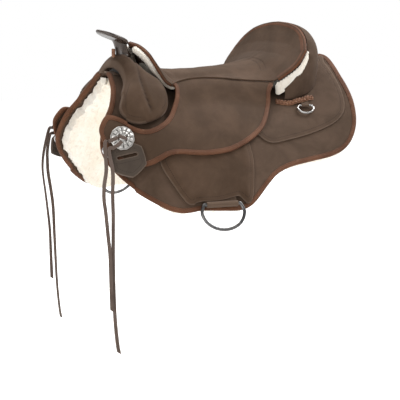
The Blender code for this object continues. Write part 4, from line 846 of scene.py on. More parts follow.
RUBBED = (0.19, 0.135, 0.10)
BROWN = Recipe((0.062, 0.036, 0.021), (0.094, 0.056, 0.035), 0.70, sheen=0.03, specular=0.14,
               bump=0.35, surface=("grain", 1100.0), stitches=(8.5 * MM, -0.9, 1.1),
               tints=(("scuff", 0.14, RUBBED), ("rubbed", 0.40, RUBBED),
                      ("thread", 0.8, (0.030, 0.019, 0.014)),
                      # The fold tint is painted shade, darker along the seat's sewn arcs and the
                      # fork's dart.
                      ("fold", 0.75, (0.022, 0.013, 0.009))))
RECIPES = {
    Finish.NUBUCK: BROWN,
    # A lighter copy of the brown leather: partly a paler leather, partly painted light on the
    # skirt, rear pad and cantle back.
    Finish.PALE: replace(BROWN, dark=(0.071, 0.044, 0.028), light=(0.108, 0.068, 0.046)),
    Finish.SMOOTH: replace(BROWN, dark=(0.048, 0.034, 0.025), light=(0.068, 0.050, 0.037),
                           roughness=0.55, sheen=0.02, specular=0.25, bump=0.25,
                           surface=("grain", 700.0)),
    Finish.RUST: Recipe((0.094, 0.037, 0.017), (0.152, 0.064, 0.032), 0.60, sheen=0.02,
                        specular=0.2, bump=0.30, stitches=(0.0, -1.2, 1.4),
                        tints=(("thread", 0.75, (0.060, 0.026, 0.014)),
                               ("scuff", 0.35, (0.33, 0.19, 0.12)))),
    Finish.PLAITED: Recipe((0.190, 0.080, 0.040), (0.380, 0.190, 0.105), 0.5, sheen=0.05,
                           # The fold tint is painted shade where the strands dip under each other.
                           specular=0.4, bump=0.30, tints=(("fold", 0.8, (0.07, 0.026, 0.012)),)),
    Finish.FLEECE: Recipe((0.92, 0.84, 0.72), (1.0, 0.96, 0.88), 0.95, sheen=0.3,
                          specular=0.1, bump=0.7, bump_depth=1.6 * MM, surface=("pile", 170.0),
                          # The gap tint is painted shade between the locks.
                          tints=(("gap", 0.35, (0.66, 0.55, 0.43)),)),
    Finish.FELT: Recipe((0.26, 0.24, 0.22), (0.40, 0.38, 0.35), 0.95, sheen=0.3, specular=0.1,
                        bump=0.5, surface=("pile", 500.0)),
    Finish.FOAM: Recipe((0.46, 0.44, 0.39), (0.60, 0.58, 0.52), 0.9, specular=0.2, bump=0.4,
                        surface=("pile", 500.0)),
    Finish.LAMINATE: Recipe((0.040, 0.038, 0.036), (0.075, 0.070, 0.066), 0.5),
    Finish.LACQUER: Recipe((0.030, 0.020, 0.015), (0.075, 0.052, 0.040), 0.28, metallic=0.10,
                           coat=0.35, bump=0.03),
    Finish.STEEL: Recipe((0.42, 0.41, 0.40), (0.66, 0.65, 0.64), 0.26, metallic=1.0, bump=0.05),
    Finish.GUNMETAL: Recipe((0.10, 0.10, 0.105), (0.20, 0.195, 0.19), 0.30, metallic=1.0,
                            bump=0.05),
    Finish.SILVER: Recipe((0.70, 0.68, 0.65), (0.95, 0.93, 0.90), 0.26, metallic=1.0, bump=0.10,
                          tints=(("cut", 0.8, (0.05, 0.045, 0.04)),)),
    Finish.LACE: Recipe((0.085, 0.055, 0.042), (0.130, 0.092, 0.074), 0.6, sheen=0.05,
                        specular=0.35, bump=0.30),
    Finish.WEBBING: Recipe((0.010, 0.010, 0.011), (0.035, 0.035, 0.037), 0.8, bump=0.6,
                           surface=("weave", 420.0)),
}


class FinishShop:
    """Makes and keeps one material for each finish."""

    def __init__(self) -> None:
        """Builds the shared effects."""
        self.effects = Effects()
        self.made: dict[Finish, bpy.types.Material] = {}

    def get(self, finish: Finish) -> bpy.types.Material:
        """The material of a finish."""
        if finish not in self.made:
            self.made[finish] = self.mix(finish)
        return self.made[finish]

    def effect(self, wires: Wiring, name: str, **inputs: object) -> bpy.types.Node:
        """One shared effect placed in a material."""
        return wires.add("Group", {"node_tree": self.effects.groups[name]}, **inputs)

    def mix(self, finish: Finish) -> bpy.types.Material:
        """Wires the material of one finish.

        Args:
            finish: Which one.

        Returns:
            The new material.
        """
        recipe = RECIPES[finish]
        material = bpy.data.materials.new("finish_" + finish.value)
        material.use_nodes = True
        wires = Wiring(material.node_tree)
        where = wires.add("TexCoord").outputs["Object"]
        clouds = self.effect(wires, "mottle", Vector=where,
                             Scale=60.0 if recipe.metallic else 15.0)
        effect, scale = recipe.surface
        surface = self.effect(wires, effect, Vector=where, Scale=scale).outputs
        # For the pile, the last output masks the painted shade between the locks as well as
        # spreading the roughness.
        height, rough = surface[0], surface[len(surface) - 1]
        masks = {"scuff": clouds.outputs["Scuff"], "gap": rough}
        if recipe.stitches:
            height = self.sew(wires, recipe.stitches, height, masks)
        tone = wires.blend(clouds.outputs["Cloud"], (*recipe.dark, 1), (*recipe.light, 1))
        for name, share, colour in recipe.tints:
            mask = masks[name] if name in masks else wires.attribute(name)
            tone = wires.blend(wires.math("MULTIPLY", mask, share), tone, (*colour, 1))
        spread = wires.add("MapRange", Value=rough, To_Min=recipe.roughness - 0.07,
                           To_Max=min(1.0, recipe.roughness + 0.10))
        bump = wires.add("Bump", Strength=recipe.bump, Distance=recipe.bump_depth, Height=height)
        wires.put(material.node_tree.nodes["Principled BSDF"], Base_Color=tone,
                  Roughness=spread.outputs[0], Normal=bump.outputs[0], Metallic=recipe.metallic,
                  Sheen_Weight=recipe.sheen, Sheen_Roughness=0.55, Coat_Weight=recipe.coat,
                  Coat_Roughness=0.12, Specular_IOR_Level=recipe.specular)
        material.diffuse_color = (*recipe.light, 1)
        return material

    def sew(self, wires: Wiring, stitches: tuple[float, float, float],
            height: bpy.types.NodeSocket, masks: dict[str, bpy.types.NodeSocket]
            ) -> bpy.types.NodeSocket:
        """Adds stitches and a rubbed edge.

        Args:
            wires: The material's wiring.
            stitches: The recipe's offset, groove and thread.
            height: The height so far.
            masks: Gets the masks of the thread and of the rubbed edge.

        Returns:
            The new height.
        """
        offset, groove, thread = stitches
        edge = wires.attribute("edge")
        seam = self.effect(wires, "stitches", Run=wires.attribute("run"),
                           Across=wires.math("SUBTRACT", edge, offset)).outputs
        masks["thread"] = seam["Thread"]
        masks["rubbed"] = wires.fade(edge, 0.4 * MM, 3 * MM)
        height = wires.math("MULTIPLY_ADD", seam["Groove"], groove, height)
        return wires.math("MULTIPLY_ADD", seam["Thread"], thread, height)


SHOP = FinishShop()


def dress(piece: bpy.types.Object, finish: Finish, body: str = "saddle",
          node: str | None = None, crease: float = 40.0) -> bpy.types.Object:
    """Gives a finished piece its material and body, and hides the CAD node that it replaces.

    Args:
        piece: The piece.
        finish: Its finish.
        body: The CAD body that it rides on.
        node: The CAD node that it replaces, if any.
        crease: Edges sharper than this stay sharp, in degrees.

    Returns:
        The same piece.
    """
    only(piece)
    bpy.ops.object.shade_smooth_by_angle(angle=math.radians(crease))
    piece.data.materials.clear()
    piece.data.materials.append(SHOP.get(finish))
    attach(piece, body)
    slot = {Finish.SMOOTH: "brown_leather", Finish.PALE: "brown_leather",
            Finish.PLAITED: "rust_leather"}.get(finish, finish.value)
    if node:
        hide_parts(node)
    log.info("%s: %d faces, rides on %s", piece.name, len(piece.data.polygons), body)
    return piece


def pattern_piece(name: str, outline: Rows, spacing: float, thick: float, rounding: float,
                  holes: Sequence[Rows] = ()) -> bpy.types.Object:
    """A flat piece cut to an outline, with rounded edges.

    Args:
        name: The piece's name.
        outline: Closed outline in metres.
        spacing: Distance between its points.
        thick: Its thickness in the pattern plane.
        rounding: Radius of its edges.
        holes: Outlines that are cut out.

    Returns:
        The piece, flat, with "edge" and "run" written at each point.
    """
    low, high = outline.min(0), outline.max(0)
    row = 0.866 * spacing
    points = np.array([(low[0] + (i + 0.5 * (k % 2)) * spacing, low[1] + (k + 0.5) * row)
                       for k in range(int((high[1] - low[1]) / row) + 1)
                       for i in range(int((high[0] - low[0]) / spacing) + 1)])
    keep = inside_by(outline, points)[0] > 0.6 * spacing
    for hole in holes:
        keep &= inside_by(hole, points)[0] < -0.5 * spacing
    places = [tuple(p) for p in points[keep]]
    edges = []
    for loop in (outline, *holes):
        start = len(places)
        edges += [(start + k, start + (k + 1) % len(loop)) for k in range(len(loop))]
        places += [tuple(p) for p in loop]
    flat, _, faces, _, _, _ = delaunay_2d_cdt([Vector(p) for p in places], edges, [], 0, 1e-8)
    middles = np.array([[sum(flat[i][k] for i in f) / len(f) for k in (0, 1)] for f in faces])
    wanted = inside_by(outline, middles)[0] > 0
    for hole in holes:
        wanted &= inside_by(hole, middles)[0] < 0
    kept = [face for face, take in zip(faces, wanted) if take]
    used = sorted({i for face in kept for i in face})
    number = {i: k for k, i in enumerate(used)}
    piece = make_mesh(name, [(*flat[i], 0.0) for i in used],
                      [[number[i] for i in face] for face in kept])
    finish_with(piece, thicken(thick, 1.0), bevel(rounding))
    flat = places_of(piece)[:, :2]
    edge, run = inside_by(outline, flat)
    for hole in holes:
        edge = np.minimum(edge, np.abs(inside_by(hole, flat)[0]))
    mark(piece, "edge", edge)
    mark(piece, "run", run)
    return piece


def settle(piece: bpy.types.Object, flat: Rows, n: Rows, side: int) -> None:
    """Puts a pattern piece on the horse's side.

    Args:
        piece: The piece.
        flat: Its points in the pattern plane.
        n: The height of each point.
        side: -1 near, 1 far.
    """
    write_uv(piece, flat[:, :2])
    move_to(piece, FORM.lay(side_by_side(flat[:, 0], flat[:, 1], n), side))
    outward(piece)


def height_at(height: Height, x: Rows, s: Rows) -> Rows | float:
    """A height that may differ from place to place."""
    return height(x, s) if callable(height) else height


def lay_piece(piece: bpy.types.Object, side: int, under: Height, over: Height,
              wrinkle: float = 0.0, seed: float = 1.0) -> None:
    """Lays a flat piece on the horse's side between two heights.

    Args:
        piece: A flat pattern piece.
        side: -1 near, 1 far.
        under: Height of its lower face.
        over: Height of its upper face.
        wrinkle: How far soft waves lift it.
        seed: Moves the waves.
    """
    flat = places_of(piece)
    x, s, share = flat.T
    share = (share - share.min()) / (share.max() - share.min())
    low, high = height_at(under, x, s), height_at(over, x, s)
    n = low + (high - low) * share
    if wrinkle:
        level = side_by_side(x, s, 0)
        waves = ripple(level, 14.0, seed) + 0.5 * ripple(level, 38.0, seed + 3)
        n = n + wrinkle * np.maximum(waves, -0.6) * smooth(share * 2)
    settle(piece, flat, n, side)


def grid_piece(name: str, columns: int, rows: int,
               place: Callable[[Rows, Rows], Rows]) -> bpy.types.Object:
    """A grid whose points are moved to a surface.

    Args:
        name: The piece's name.
        columns: Cells across.
        rows: Cells along.
        place: Gives world points for shares across (-1 to 1) and along (0 to 1).

    Returns:
        The sheet, with no thickness yet.
    """
    piece = primitive(name, bpy.ops.mesh.primitive_grid_add, x_subdivisions=columns,
                      y_subdivisions=rows, size=2)
    flat = places_of(piece)
    move_to(piece, place(flat[:, 0], (flat[:, 1] + 1) / 2))
    return piece


def tube(name: str, rings: Rows, closed: bool = False, run: Rows | None = None,
         aside: Rows | None = None) -> bpy.types.Object:
    """A closed skin through rings of equal size.

    Args:
        name: The piece's name.
        rings: An array of rings, points and coordinates.
        closed: True where the last ring joins the first.
        run: How far along each ring is.
        aside: How far across each point of a ring is.

    Returns:
        The piece, with "run" and "edge" written at each point where they are given.
    """
    count, size = rings.shape[:2]
    faces = []
    for i in range(count if closed else count - 1):
        a, b = i * size, ((i + 1) % count) * size
        for k in range(size):
            after = (k + 1) % size
            faces.append((a + k, a + after, b + after, b + k))
    if not closed:
        faces += [tuple(range(size))[::-1], tuple((count - 1) * size + k for k in range(size))]
    piece = make_mesh(name, rings.reshape(-1, 3), faces)
    outward(piece)
    if run is not None:
        along, across = np.repeat(run, size), np.tile(aside, count)
        mark(piece, "run", along)
        mark(piece, "edge", across)
        write_uv(piece, side_by_side(along, across))
    return piece


def cross_axes(path: Rows, closed: bool, first: Sequence[float]) -> tuple[Rows, Rows]:
    """Two unit directions across a path that turn as little as they can.

    Args:
        path: World points.
        closed: True for a loop.
        first: A direction that the first cross axis is nearest to.

    Returns:
        Rows across and up at each point.
    """
    along = travel(path, closed)
    across = np.zeros_like(path)
    last = np.array(first)
    for k, way in enumerate(along):
        last = across[k] = unit(last - way * (last @ way))
    return across, np.cross(along, across)


@dataclass(frozen=True)
class Binding:
    """A folded strip round an edge: sizes of its section."""

    leather: float = 1.3 * MM
    lip: float = 8.5 * MM
    puff: float = 0.35 * MM

    def section(self, thick: float) -> tuple[Rows, Rows]:
        """The section round an edge of some thickness.

        Args:
            thick: The thickness of the bound edge.

        Returns:
            Rows of (out, up), and the distance of each from the stitch line.
        """
        slot = thick / 2 + 0.05 * MM
        outer = slot + self.leather
        top = [(-self.lip, slot + 0.25 * self.leather), (-self.lip + 0.7 * MM, outer * 0.97),
               (-0.72 * self.lip, outer), (-0.55 * self.lip, outer + self.puff),
               (-0.3 * self.lip, outer + self.puff), (0.2 * MM, outer * 0.98),
               (self.leather * 0.75, slot * 0.85), (self.leather, 0.0)]
        inner = slot - 0.1 * MM
        given = np.array(top + [(a, -b) for a, b in top[-2::-1]]
                         + [(-self.lip, -inner), (CLEAR, -inner), (CLEAR, inner),
                            (-self.lip, inner)])
        return given, given[:, 0] + 0.72 * self.lip

    def on_side(self, name: str, path: Rows, thick: float, middle: Height,
                side: int) -> bpy.types.Object:
        """Binding along a path on the horse's side.

        Args:
            name: The piece's name.
            path: Pattern points; out is to the left of travel.
            thick: Thickness of the bound edge.
            middle: Height of the edge's middle.
            side: -1 near, 1 far.

        Returns:
            The binding.
        """
        section, aside = self.section(thick)
        x, s = (path[:, None] + leftwards(path, False)[:, None] * section[:, :1]).reshape(-1, 2).T
        n = height_at(middle, x, s) + np.tile(section[:, 1], len(path))
        rings = FORM.lay(side_by_side(x, s, n), side).reshape(len(path), len(section), 3)
        return tube(name, rings, run=run_of(path), aside=aside)


@dataclass
class Panel:
    """One side's skirt with its felt and fleece, its binding and the inset rear pad."""

    word: str
    side: int
    spine_gap: float = 3 * MM
    leather: float = 4 * MM
    margin: float = 4 * MM
    front_margin: float = 9 * MM
    rim_rise: float = 7.5 * MM
    felt_margin: float = 20 * MM
    felt_gap: float = 14 * MM
    sewn_drop: float = 1.1 * MM
    pillow: float = 10 * MM
    front_x: float = -235 * MM
    front_fade: float = 50 * MM
    rim_width: float = 13 * MM
    curl_width: float = 8 * MM
    curl: float = 2.2 * MM
    front_curl: float = 2.4 * MM

    def outline(self) -> tuple[Rows, Rows]:
        """The skirt's free edge, and its whole outline with the spine.

        Returns:
            The free edge and the whole outline.
        """
        edge = spline(SKIRT, 300)
        edge[[0, -1], 1] = self.spine_gap
        spine = side_by_side(np.linspace(edge[-1, 0], edge[0, 0], 110)[1:-1], self.spine_gap)
        return edge, np.vstack([edge, spine])

    def build(self) -> None:
        """Makes the panel's pieces."""
        edge, whole = self.outline()
        skirt = pattern_piece(f"{self.word}_skirt_leather", whole, 6 * MM, self.leather,
                              0.8 * MM)
        lay_piece(skirt, self.side, LAYERS.skirt_under, LAYERS.skirt_top)
        # The skirt's paler leather is partly painted light.
        dress(skirt, Finish.PALE, node=f"{self.word}_skirt")
        binding = Binding().on_side(f"{self.word}_skirt_edge_binding", edge[3:-3], self.leather,
                                    LAYERS.skirt_top - self.leather / 2, self.side)
        dress(binding, Finish.RUST, node=f"{self.word}_skirt_binding")
        self.build_fleece(whole)
        self.build_felt(whole)
        self.build_rear_pad()

    def build_fleece(self, whole: Rows) -> None:
        """The sheepskin lining, thickest and curliest at its free edge.

        Args:
            whole: The skirt's outline.
        """
        front = smooth((self.front_x - whole[:, :1]) / self.front_fade)
        cut = inset(whole, -(self.margin + self.front_margin * front), True)
        cut[:, 1] = np.maximum(cut[:, 1], self.spine_gap)
        piece = pattern_piece(f"{self.word}_sheepskin", cut, 4 * MM, 6 * MM, 2.5 * MM)
        flat = places_of(piece)
        edge = inside_by(cut, flat[:, :2])[0]
        share = flat[:, 2] / flat[:, 2].max()
        rim = 1 - smooth(edge / self.rim_width)
        away = smooth(flat[:, 1] / (30 * MM))
        lumps = ripple(flat, 70.0, 4.0) + 0.7 * ripple(flat, 160.0, 9.0)
        n = (share * (LAYERS.fleece + self.rim_rise * rim * away)
             - (1 - share) * (1.6 * lumps + 1.0) * MM * away)
        nearest = np.argmin(((flat[:, None, :2] - cut[None, ::3]) ** 2).sum(2), axis=1)
        push = leftwards(cut, True)[::3][nearest]
        push *= ((1 - smooth(edge / self.curl_width)) * away)[:, None]
        curl = self.curl + self.front_curl * smooth((-200 * MM - flat[:, 0]) / (60 * MM))
        flat[:, :2] -= push * (0.6 * MM + curl * lumps)[:, None]
        settle(piece, flat, n, self.side)
        dress(piece, Finish.FLEECE, node=f"{self.word}_fleece_lining", crease=80)

    def build_felt(self, whole: Rows) -> None:
        """The felt pad between the lining and the skirt.

        Args:
            whole: The skirt's outline.
        """
        cut = inset(spline(whole[::6], 160, True), -self.felt_margin, True)
        cut = cut[inside_by(whole, cut)[0] > self.felt_margin - 1.5 * MM]
        cut[:, 1] = np.maximum(cut[:, 1], self.felt_gap)
        piece = pattern_piece(f"{self.word}_felt_pad", cut, 12 * MM, 6 * MM, 1.5 * MM)
        lay_piece(piece, self.side, LAYERS.fleece + 2 * CLEAR, LAYERS.felt_top - CLEAR)
        dress(piece, Finish.FELT, node=f"{self.word}_panel_felt")

    def build_rear_pad(self) -> None:
        """The raised inset pad behind the cantle, pillowed towards its sewn edge."""
        cut = spline(REAR_PAD, 190, True)
        piece = pattern_piece(f"{self.word}_rear_inset", cut, 5 * MM, 3 * MM, 0.8 * MM)

        def over(x: Rows, s: Rows) -> Rows:
            """Height of the pad: sewn down at its edge, full inside."""
            inner = smooth(depth_in(cut, x, s) / self.pillow)
            return LAYERS.pad_top - self.sewn_drop * (1 - inner)

        lay_piece(piece, self.side, LAYERS.on_skirt, over, 0.25 * MM, 5.0)
        # The rear pad's paler leather is partly painted light.
        dress(piece, Finish.PALE, node=f"{self.word}_rear_pad")


@dataclass(frozen=True)
class RingKind:
    """One kind of ring: where its strap lies, its joint's place on the far side, its sizes.

    The sizes are half the bar, half the bow's width and how far the bow hangs. The strap is
    twice half wide and lies flat for its run.
    """

    ring: str
    strap: str
    x: float
    s: float
    base: float
    hinge: tuple[float, float, float]
    sizes: tuple[float, float, float] = (12 * MM, 17 * MM, 22 * MM)
    wire: float = 2.1 * MM
    leather: float = 1.6 * MM
    half: float = 8 * MM
    run: float = 22 * MM
    steel: Finish = Finish.STEEL


RINGS = (
    RingKind("rigging_ring", "rigging_strap", -125.5 * MM, 311 * MM, LAYERS.on_skirt + 2.6 * MM,
             (-0.13205, 0.23088, -0.20080), (38.5 * MM, 44.5 * MM, 53 * MM), 3.5 * MM,
             2.5 * MM, 33 * MM, 125 * MM, Finish.GUNMETAL),
    RingKind("rear_dee", "rear_keeper", 127 * MM, 154 * MM, LAYERS.pad_top + 1.2 * MM,
             (0.11749, 0.15968, -0.01965)),
    RingKind("front_dee", "front_keeper", -318 * MM, 187 * MM, LAYERS.skirt_top + 1.2 * MM,
             (-0.32430, 0.12351, -0.08439)),
)


@dataclass
class RingOnStrap:
    """A ring that hangs from a bar, and the strap folded round that bar."""

    word: str
    side: int
    kind: RingKind
    flat_rows: int = 14
    fold_rows: int = 26
    last_turn: float = 195.0

    def path(self) -> Rows:
        """The ring's middle line as (back, down): a bar at the top and a round bow.

        Returns:
            The points of the loop.
        """
        bar_half, half_width, drop = self.kind.sizes
        shoulder = 0.28 * drop
        bar = [(bar_half * k, 0.0) for k in (-1, -0.9, -0.7, -0.35, 0, 0.35, 0.7, 0.9, 1)]
        turns = np.linspace(0, math.pi, 13)
        bow = side_by_side(half_width * np.cos(turns),
                           shoulder + (drop - shoulder) * np.sin(turns))
        return spline(np.vstack([bar, bow]), 96, True)

    def build(self) -> None:
        """Makes the ring and its strap, both round the hinge of the ring's joint."""
        kind, flip = self.kind, (1, self.side, 1)
        here = np.array(kind.hinge) * flip
        back, down, out = (axis * flip for axis in FORM.axes(kind.x, kind.s, True))
        bar = self.path()
        world = here + bar[:, :1] * back + bar[:, 1:] * down
        across, up = cross_axes(world, True, (0.3, 0.5, 0.81))
        node = f"{self.word}_{kind.ring}"
        ring = tube(node + "_forged", swept(world, across, up, kind.wire * circle(16)), True)
        dress(ring, kind.steel, node, node)
        middle = kind.wire + CLEAR + kind.leather / 2
        turns = np.radians(np.linspace(-90, self.last_turn, self.fold_rows))
        drop = np.concatenate([-kind.run * np.arange(self.flat_rows, 0, -1) / self.flat_rows,
                               middle * np.cos(turns)])
        lift = np.concatenate([np.full(self.flat_rows, -middle), middle * np.sin(turns)])

        def fold(u: Rows, v: Rows) -> Rows:
            """The strap: round the bar, and on the horse's side above it.

            Args:
                u: Shares across.
                v: Shares along.

            Returns:
                World points.
            """
            at = v * (len(drop) - 1)
            a = u * kind.half
            b, c = (np.interp(at, np.arange(len(drop)), column) for column in (drop, lift))
            free = here + side_by_side(a, b, c) @ (back, down, out)
            on_side = smooth((-b - middle) / (2 * middle)) * (c < 0)
            return free + on_side[:, None] * (self.laid(a, b) - free)

        strap = grid_piece(f"{self.word}_{kind.strap}_folded", 12, len(drop) - 1, fold)
        finish_with(strap, thicken(kind.leather * 0.94, 0.0), bevel(0.25 * kind.leather))
        outward(strap)
        dress(strap, Finish.NUBUCK, node=f"{self.word}_{kind.strap}")

    def laid(self, across: Rows, drop: Rows) -> Rows:
        """Points of the strap where it lies on the horse's side.

        Args:
            across: Ways back from the strap's middle line.
            drop: Ways down from the bar.

        Returns:
            World points.
        """
        kind = self.kind
        form = np.array(FORM.axes(kind.x, kind.s, False)[:2])
        level = np.array(FORM.axes(kind.x, kind.s, True)[:2])
        x, s = (side_by_side(across, drop) @ level @ form.T).T
        return FORM.lay(side_by_side(kind.x + x, kind.s + s, kind.base + kind.leather / 2),
                        self.side)


@dataclass
class Rigging:
    """The padded cover over the rigging strap."""

    word: str
    side: int
    strap_x: float = RINGS[0].x
    strap_half: float = 36 * MM
    swell: float = 1.2 * MM
    least: float = 1.6 * MM
    sewn_width: float = 16 * MM
    swell_width: float = 50 * MM
    sewn_share: float = 0.62
    mouth_top: float = 150 * MM
    mouth_fade: float = 50 * MM

    def build(self) -> None:
        """Makes the cover, sewn down at its edges and arched over the strap."""
        cut = spline(COVER, 200, True)
        piece = pattern_piece(f"{self.word}_rigging_pocket", cut, 4.5 * MM, 3 * MM, 0.9 * MM)

        def mouth(x: Rows, s: Rows) -> Rows:
            """1 where the strap comes out below, 0 away from it."""
            beside = 1 - smooth((np.abs(x - self.strap_x) - self.strap_half) / (12 * MM))
            return beside * smooth((s - self.mouth_top) / self.mouth_fade)

        def over(x: Rows, s: Rows) -> Rows:
            """Height of the cover's face.

            Args:
                x: Places along the back.
                s: Ways down from the back line.

            Returns:
                The heights.
            """
            edge = depth_in(cut, x, s)
            sewn = (1 - smooth(edge / self.sewn_width)) * (1 - mouth(x, s))
            swell = self.swell * smooth(edge / self.swell_width)
            return LAYERS.on_skirt + LAYERS.cover_rise * (1 - self.sewn_share * sewn) + swell

        def under(x: Rows, s: Rows) -> Rows:
            """Height of the cover's back: lifted over the strap.

            Args:
                x: Places along the back.
                s: Ways down from the back line.

            Returns:
                The heights.
            """
            reach = 20 * MM
            free = mouth(x, s + reach) * smooth((depth_in(cut, x, s) + reach) / reach)
            lift = LAYERS.strap_lift * free
            return np.minimum(LAYERS.on_skirt + lift, over(x, s) - self.least)

        lay_piece(piece, self.side, under, over, 0.8 * MM, 12.0)
        dress(piece, Finish.NUBUCK, node=f"{self.word}_rigging_cover")


@dataclass
class SeatForm:
    """The seat's outer face over u from -1 (near) to 1 (far) and v from front to rim."""

    corner: int = 5
    seam_end: float = 0.70
    step: float = 0.03
    least: float = 2 * MM

    def __post_init__(self) -> None:
        """Joins the seam and the lower rim into one side edge."""
        self.side_edge = np.vstack([SEAT_SEAM, RIM[-2:self.corner - 1:-1]])
        self.rear_edge = RIM[:self.corner + 1]

    def surface(self, u: Rows, v: Rows) -> Rows:
        """Points of the outer face.

        Args:
            u: Shares across.
            v: Shares from the front to the rim.

        Returns:
            World points.
        """
        flip = side_by_side(1, np.where(u < 0, -1, 1), 1)
        front, rear = (along_rows(rows, np.abs(u)) * flip
                       for rows in (SEAT_FRONT, self.rear_edge))
        w = v[:, None]
        chord = (1 - w) * self.side_edge[0] + w * self.side_edge[-1]
        over = along_rows(self.side_edge, v) - chord
        found = (1 - w) * front + w * rear + over * side_by_side(1, u, 1)
        middle = (1 - w) * SEAT_FRONT[0] + w * RIM[0] + over
        target = np.interp(middle[:, 0], *CENTRE.T)
        found[:, 2] += (target - middle[:, 2]) * np.maximum(0, 1 - u * u) ** 1.25
        return found

    def point(self, u: Rows, v: Rows, depth: float) -> tuple[Rows, Rows]:
        """Points under the outer face by a depth, and the face's normals.

        Args:
            u: Shares across.
            v: Shares along.
            depth: How far under the face.

        Returns:
            The points and the normals.
        """
        d = self.step
        across = self.surface(np.minimum(u + d, 1), v) - self.surface(np.maximum(u - d, -1), v)
        along = self.surface(u, np.minimum(v + d, 1)) - self.surface(u, np.maximum(v - d, 0))
        normal = unit(np.cross(along, across))
        return self.surface(u, v) - normal * depth, normal

    def rim_at(self, t: Rows) -> tuple[Rows, Rows]:
        """The (u, v) of the rim's point t, from -1 near to 1 far.

        Args:
            t: Places on the rim.

        Returns:
            The shares across and along.
        """
        at = np.abs(t) * (len(RIM) - 1)
        on_rear = at <= self.corner
        u = np.where(on_rear, at / self.corner, 1.0) * np.where(t < 0, -1.0, 1.0)
        v = np.where(on_rear, 1.0, 1 - (at - self.corner) / (len(self.side_edge) - 1))
        return u, v

    def seam_line(self) -> Rows:
        """The seam with the flaps as (x, s, n) rows.

        Returns:
            The rows, from the front to the rear.
        """
        found = []
        for place in along_rows(self.side_edge, np.linspace(0, self.seam_end, 40)):
            flat = np.array((place[0], max(self.least, place[1]), LAYERS.on_skirt))
            for _ in range(14):
                gap = place - FORM.lay(flat[None])[0]
                flat += np.array(FORM.axes(flat[0], flat[1], False)) @ gap
                flat[1] = max(self.least, flat[1])
            found.append(flat)
        return np.array(found)


SEAT = SeatForm()


@dataclass
class Jockey:
    """The flap below the seat, with its ear under the fork, and its binding."""

    word: str
    side: int
    seam: Rows
    leather: float = 3.5 * MM
    stand_front: float = 12 * MM
    stand_rear: float = 8 * MM
    fall: float = 58 * MM
    wave: float = 0.7 * MM

    def seam_at(self, x: Rows, column: int) -> Rows:
        """The seam's s (column 1) or n (column 2) at x."""
        return np.interp(x, self.seam[:, 0], self.seam[:, column])

    def top(self, x: Rows, s: Rows) -> Rows:
        """Height of the flap's face: level with the seat at their seam.

        Args:
            x: Places along the back.
            s: Ways down from the back line.

        Returns:
            The heights.
        """
        rearward = smooth((x + 40 * MM) / (80 * MM))
        stand = self.stand_front + (self.stand_rear - self.stand_front) * rearward
        low = LAYERS.on_skirt + stand + self.leather
        beside = 1 - smooth((s - self.seam_at(x, 1)) / self.fall)
        return low + (self.seam_at(x, 2) - low) * beside

    def build(self) -> None:
        """Makes the flap and its binding."""
        seam = self.seam[::-1, :2] + (0, 0.9 * MM)
        ends = seam[-1] + (-0.3 * MM, 0), seam[0] + (0, 0.3 * MM)
        clear = [p for p in JOCKEY if min(np.linalg.norm(p - e) for e in ends) > 6 * MM]
        edge = spline(np.vstack([ends[0], *clear, ends[1]]), 262)
        whole = np.vstack([edge, seam[1:-1]])
        flap = pattern_piece(f"{self.word}_flap_leather", whole, 5.5 * MM, self.leather,
                             0.8 * MM)

        def over(x: Rows, s: Rows) -> Rows:
            """Face of the flap with its soft waves.

            Args:
                x: Places along the back.
                s: Ways down from the back line.

            Returns:
                The heights.
            """
            flat = side_by_side(x, s, 0)
            inner = smooth(depth_in(whole, x, s) / (30 * MM))
            return self.top(x, s) + self.wave * inner * (ripple(flat, 11.0, 7.0)
                                                         + 0.5 * ripple(flat, 30.0, 2.0))

        x, s, _ = places_of(flap).T
        near_seam = (s - self.seam_at(x, 1) < 20 * MM) & (x > self.seam[0, 0] + 12 * MM)
        mark(flap, "edge", np.where(near_seam, UNSEWN, depth_in(whole, x, s)))
        lay_piece(flap, self.side, lambda x, s: over(x, s) - self.leather, over)
        dress(flap, Finish.NUBUCK, node=f"{self.word}_jockey")
        binding = Binding().on_side(f"{self.word}_flap_binding", edge[2:-3], self.leather,
                                    lambda x, s: self.top(x, s) - self.leather / 2, self.side)
        dress(binding, Finish.RUST, node=f"{self.word}_jockey_binding")


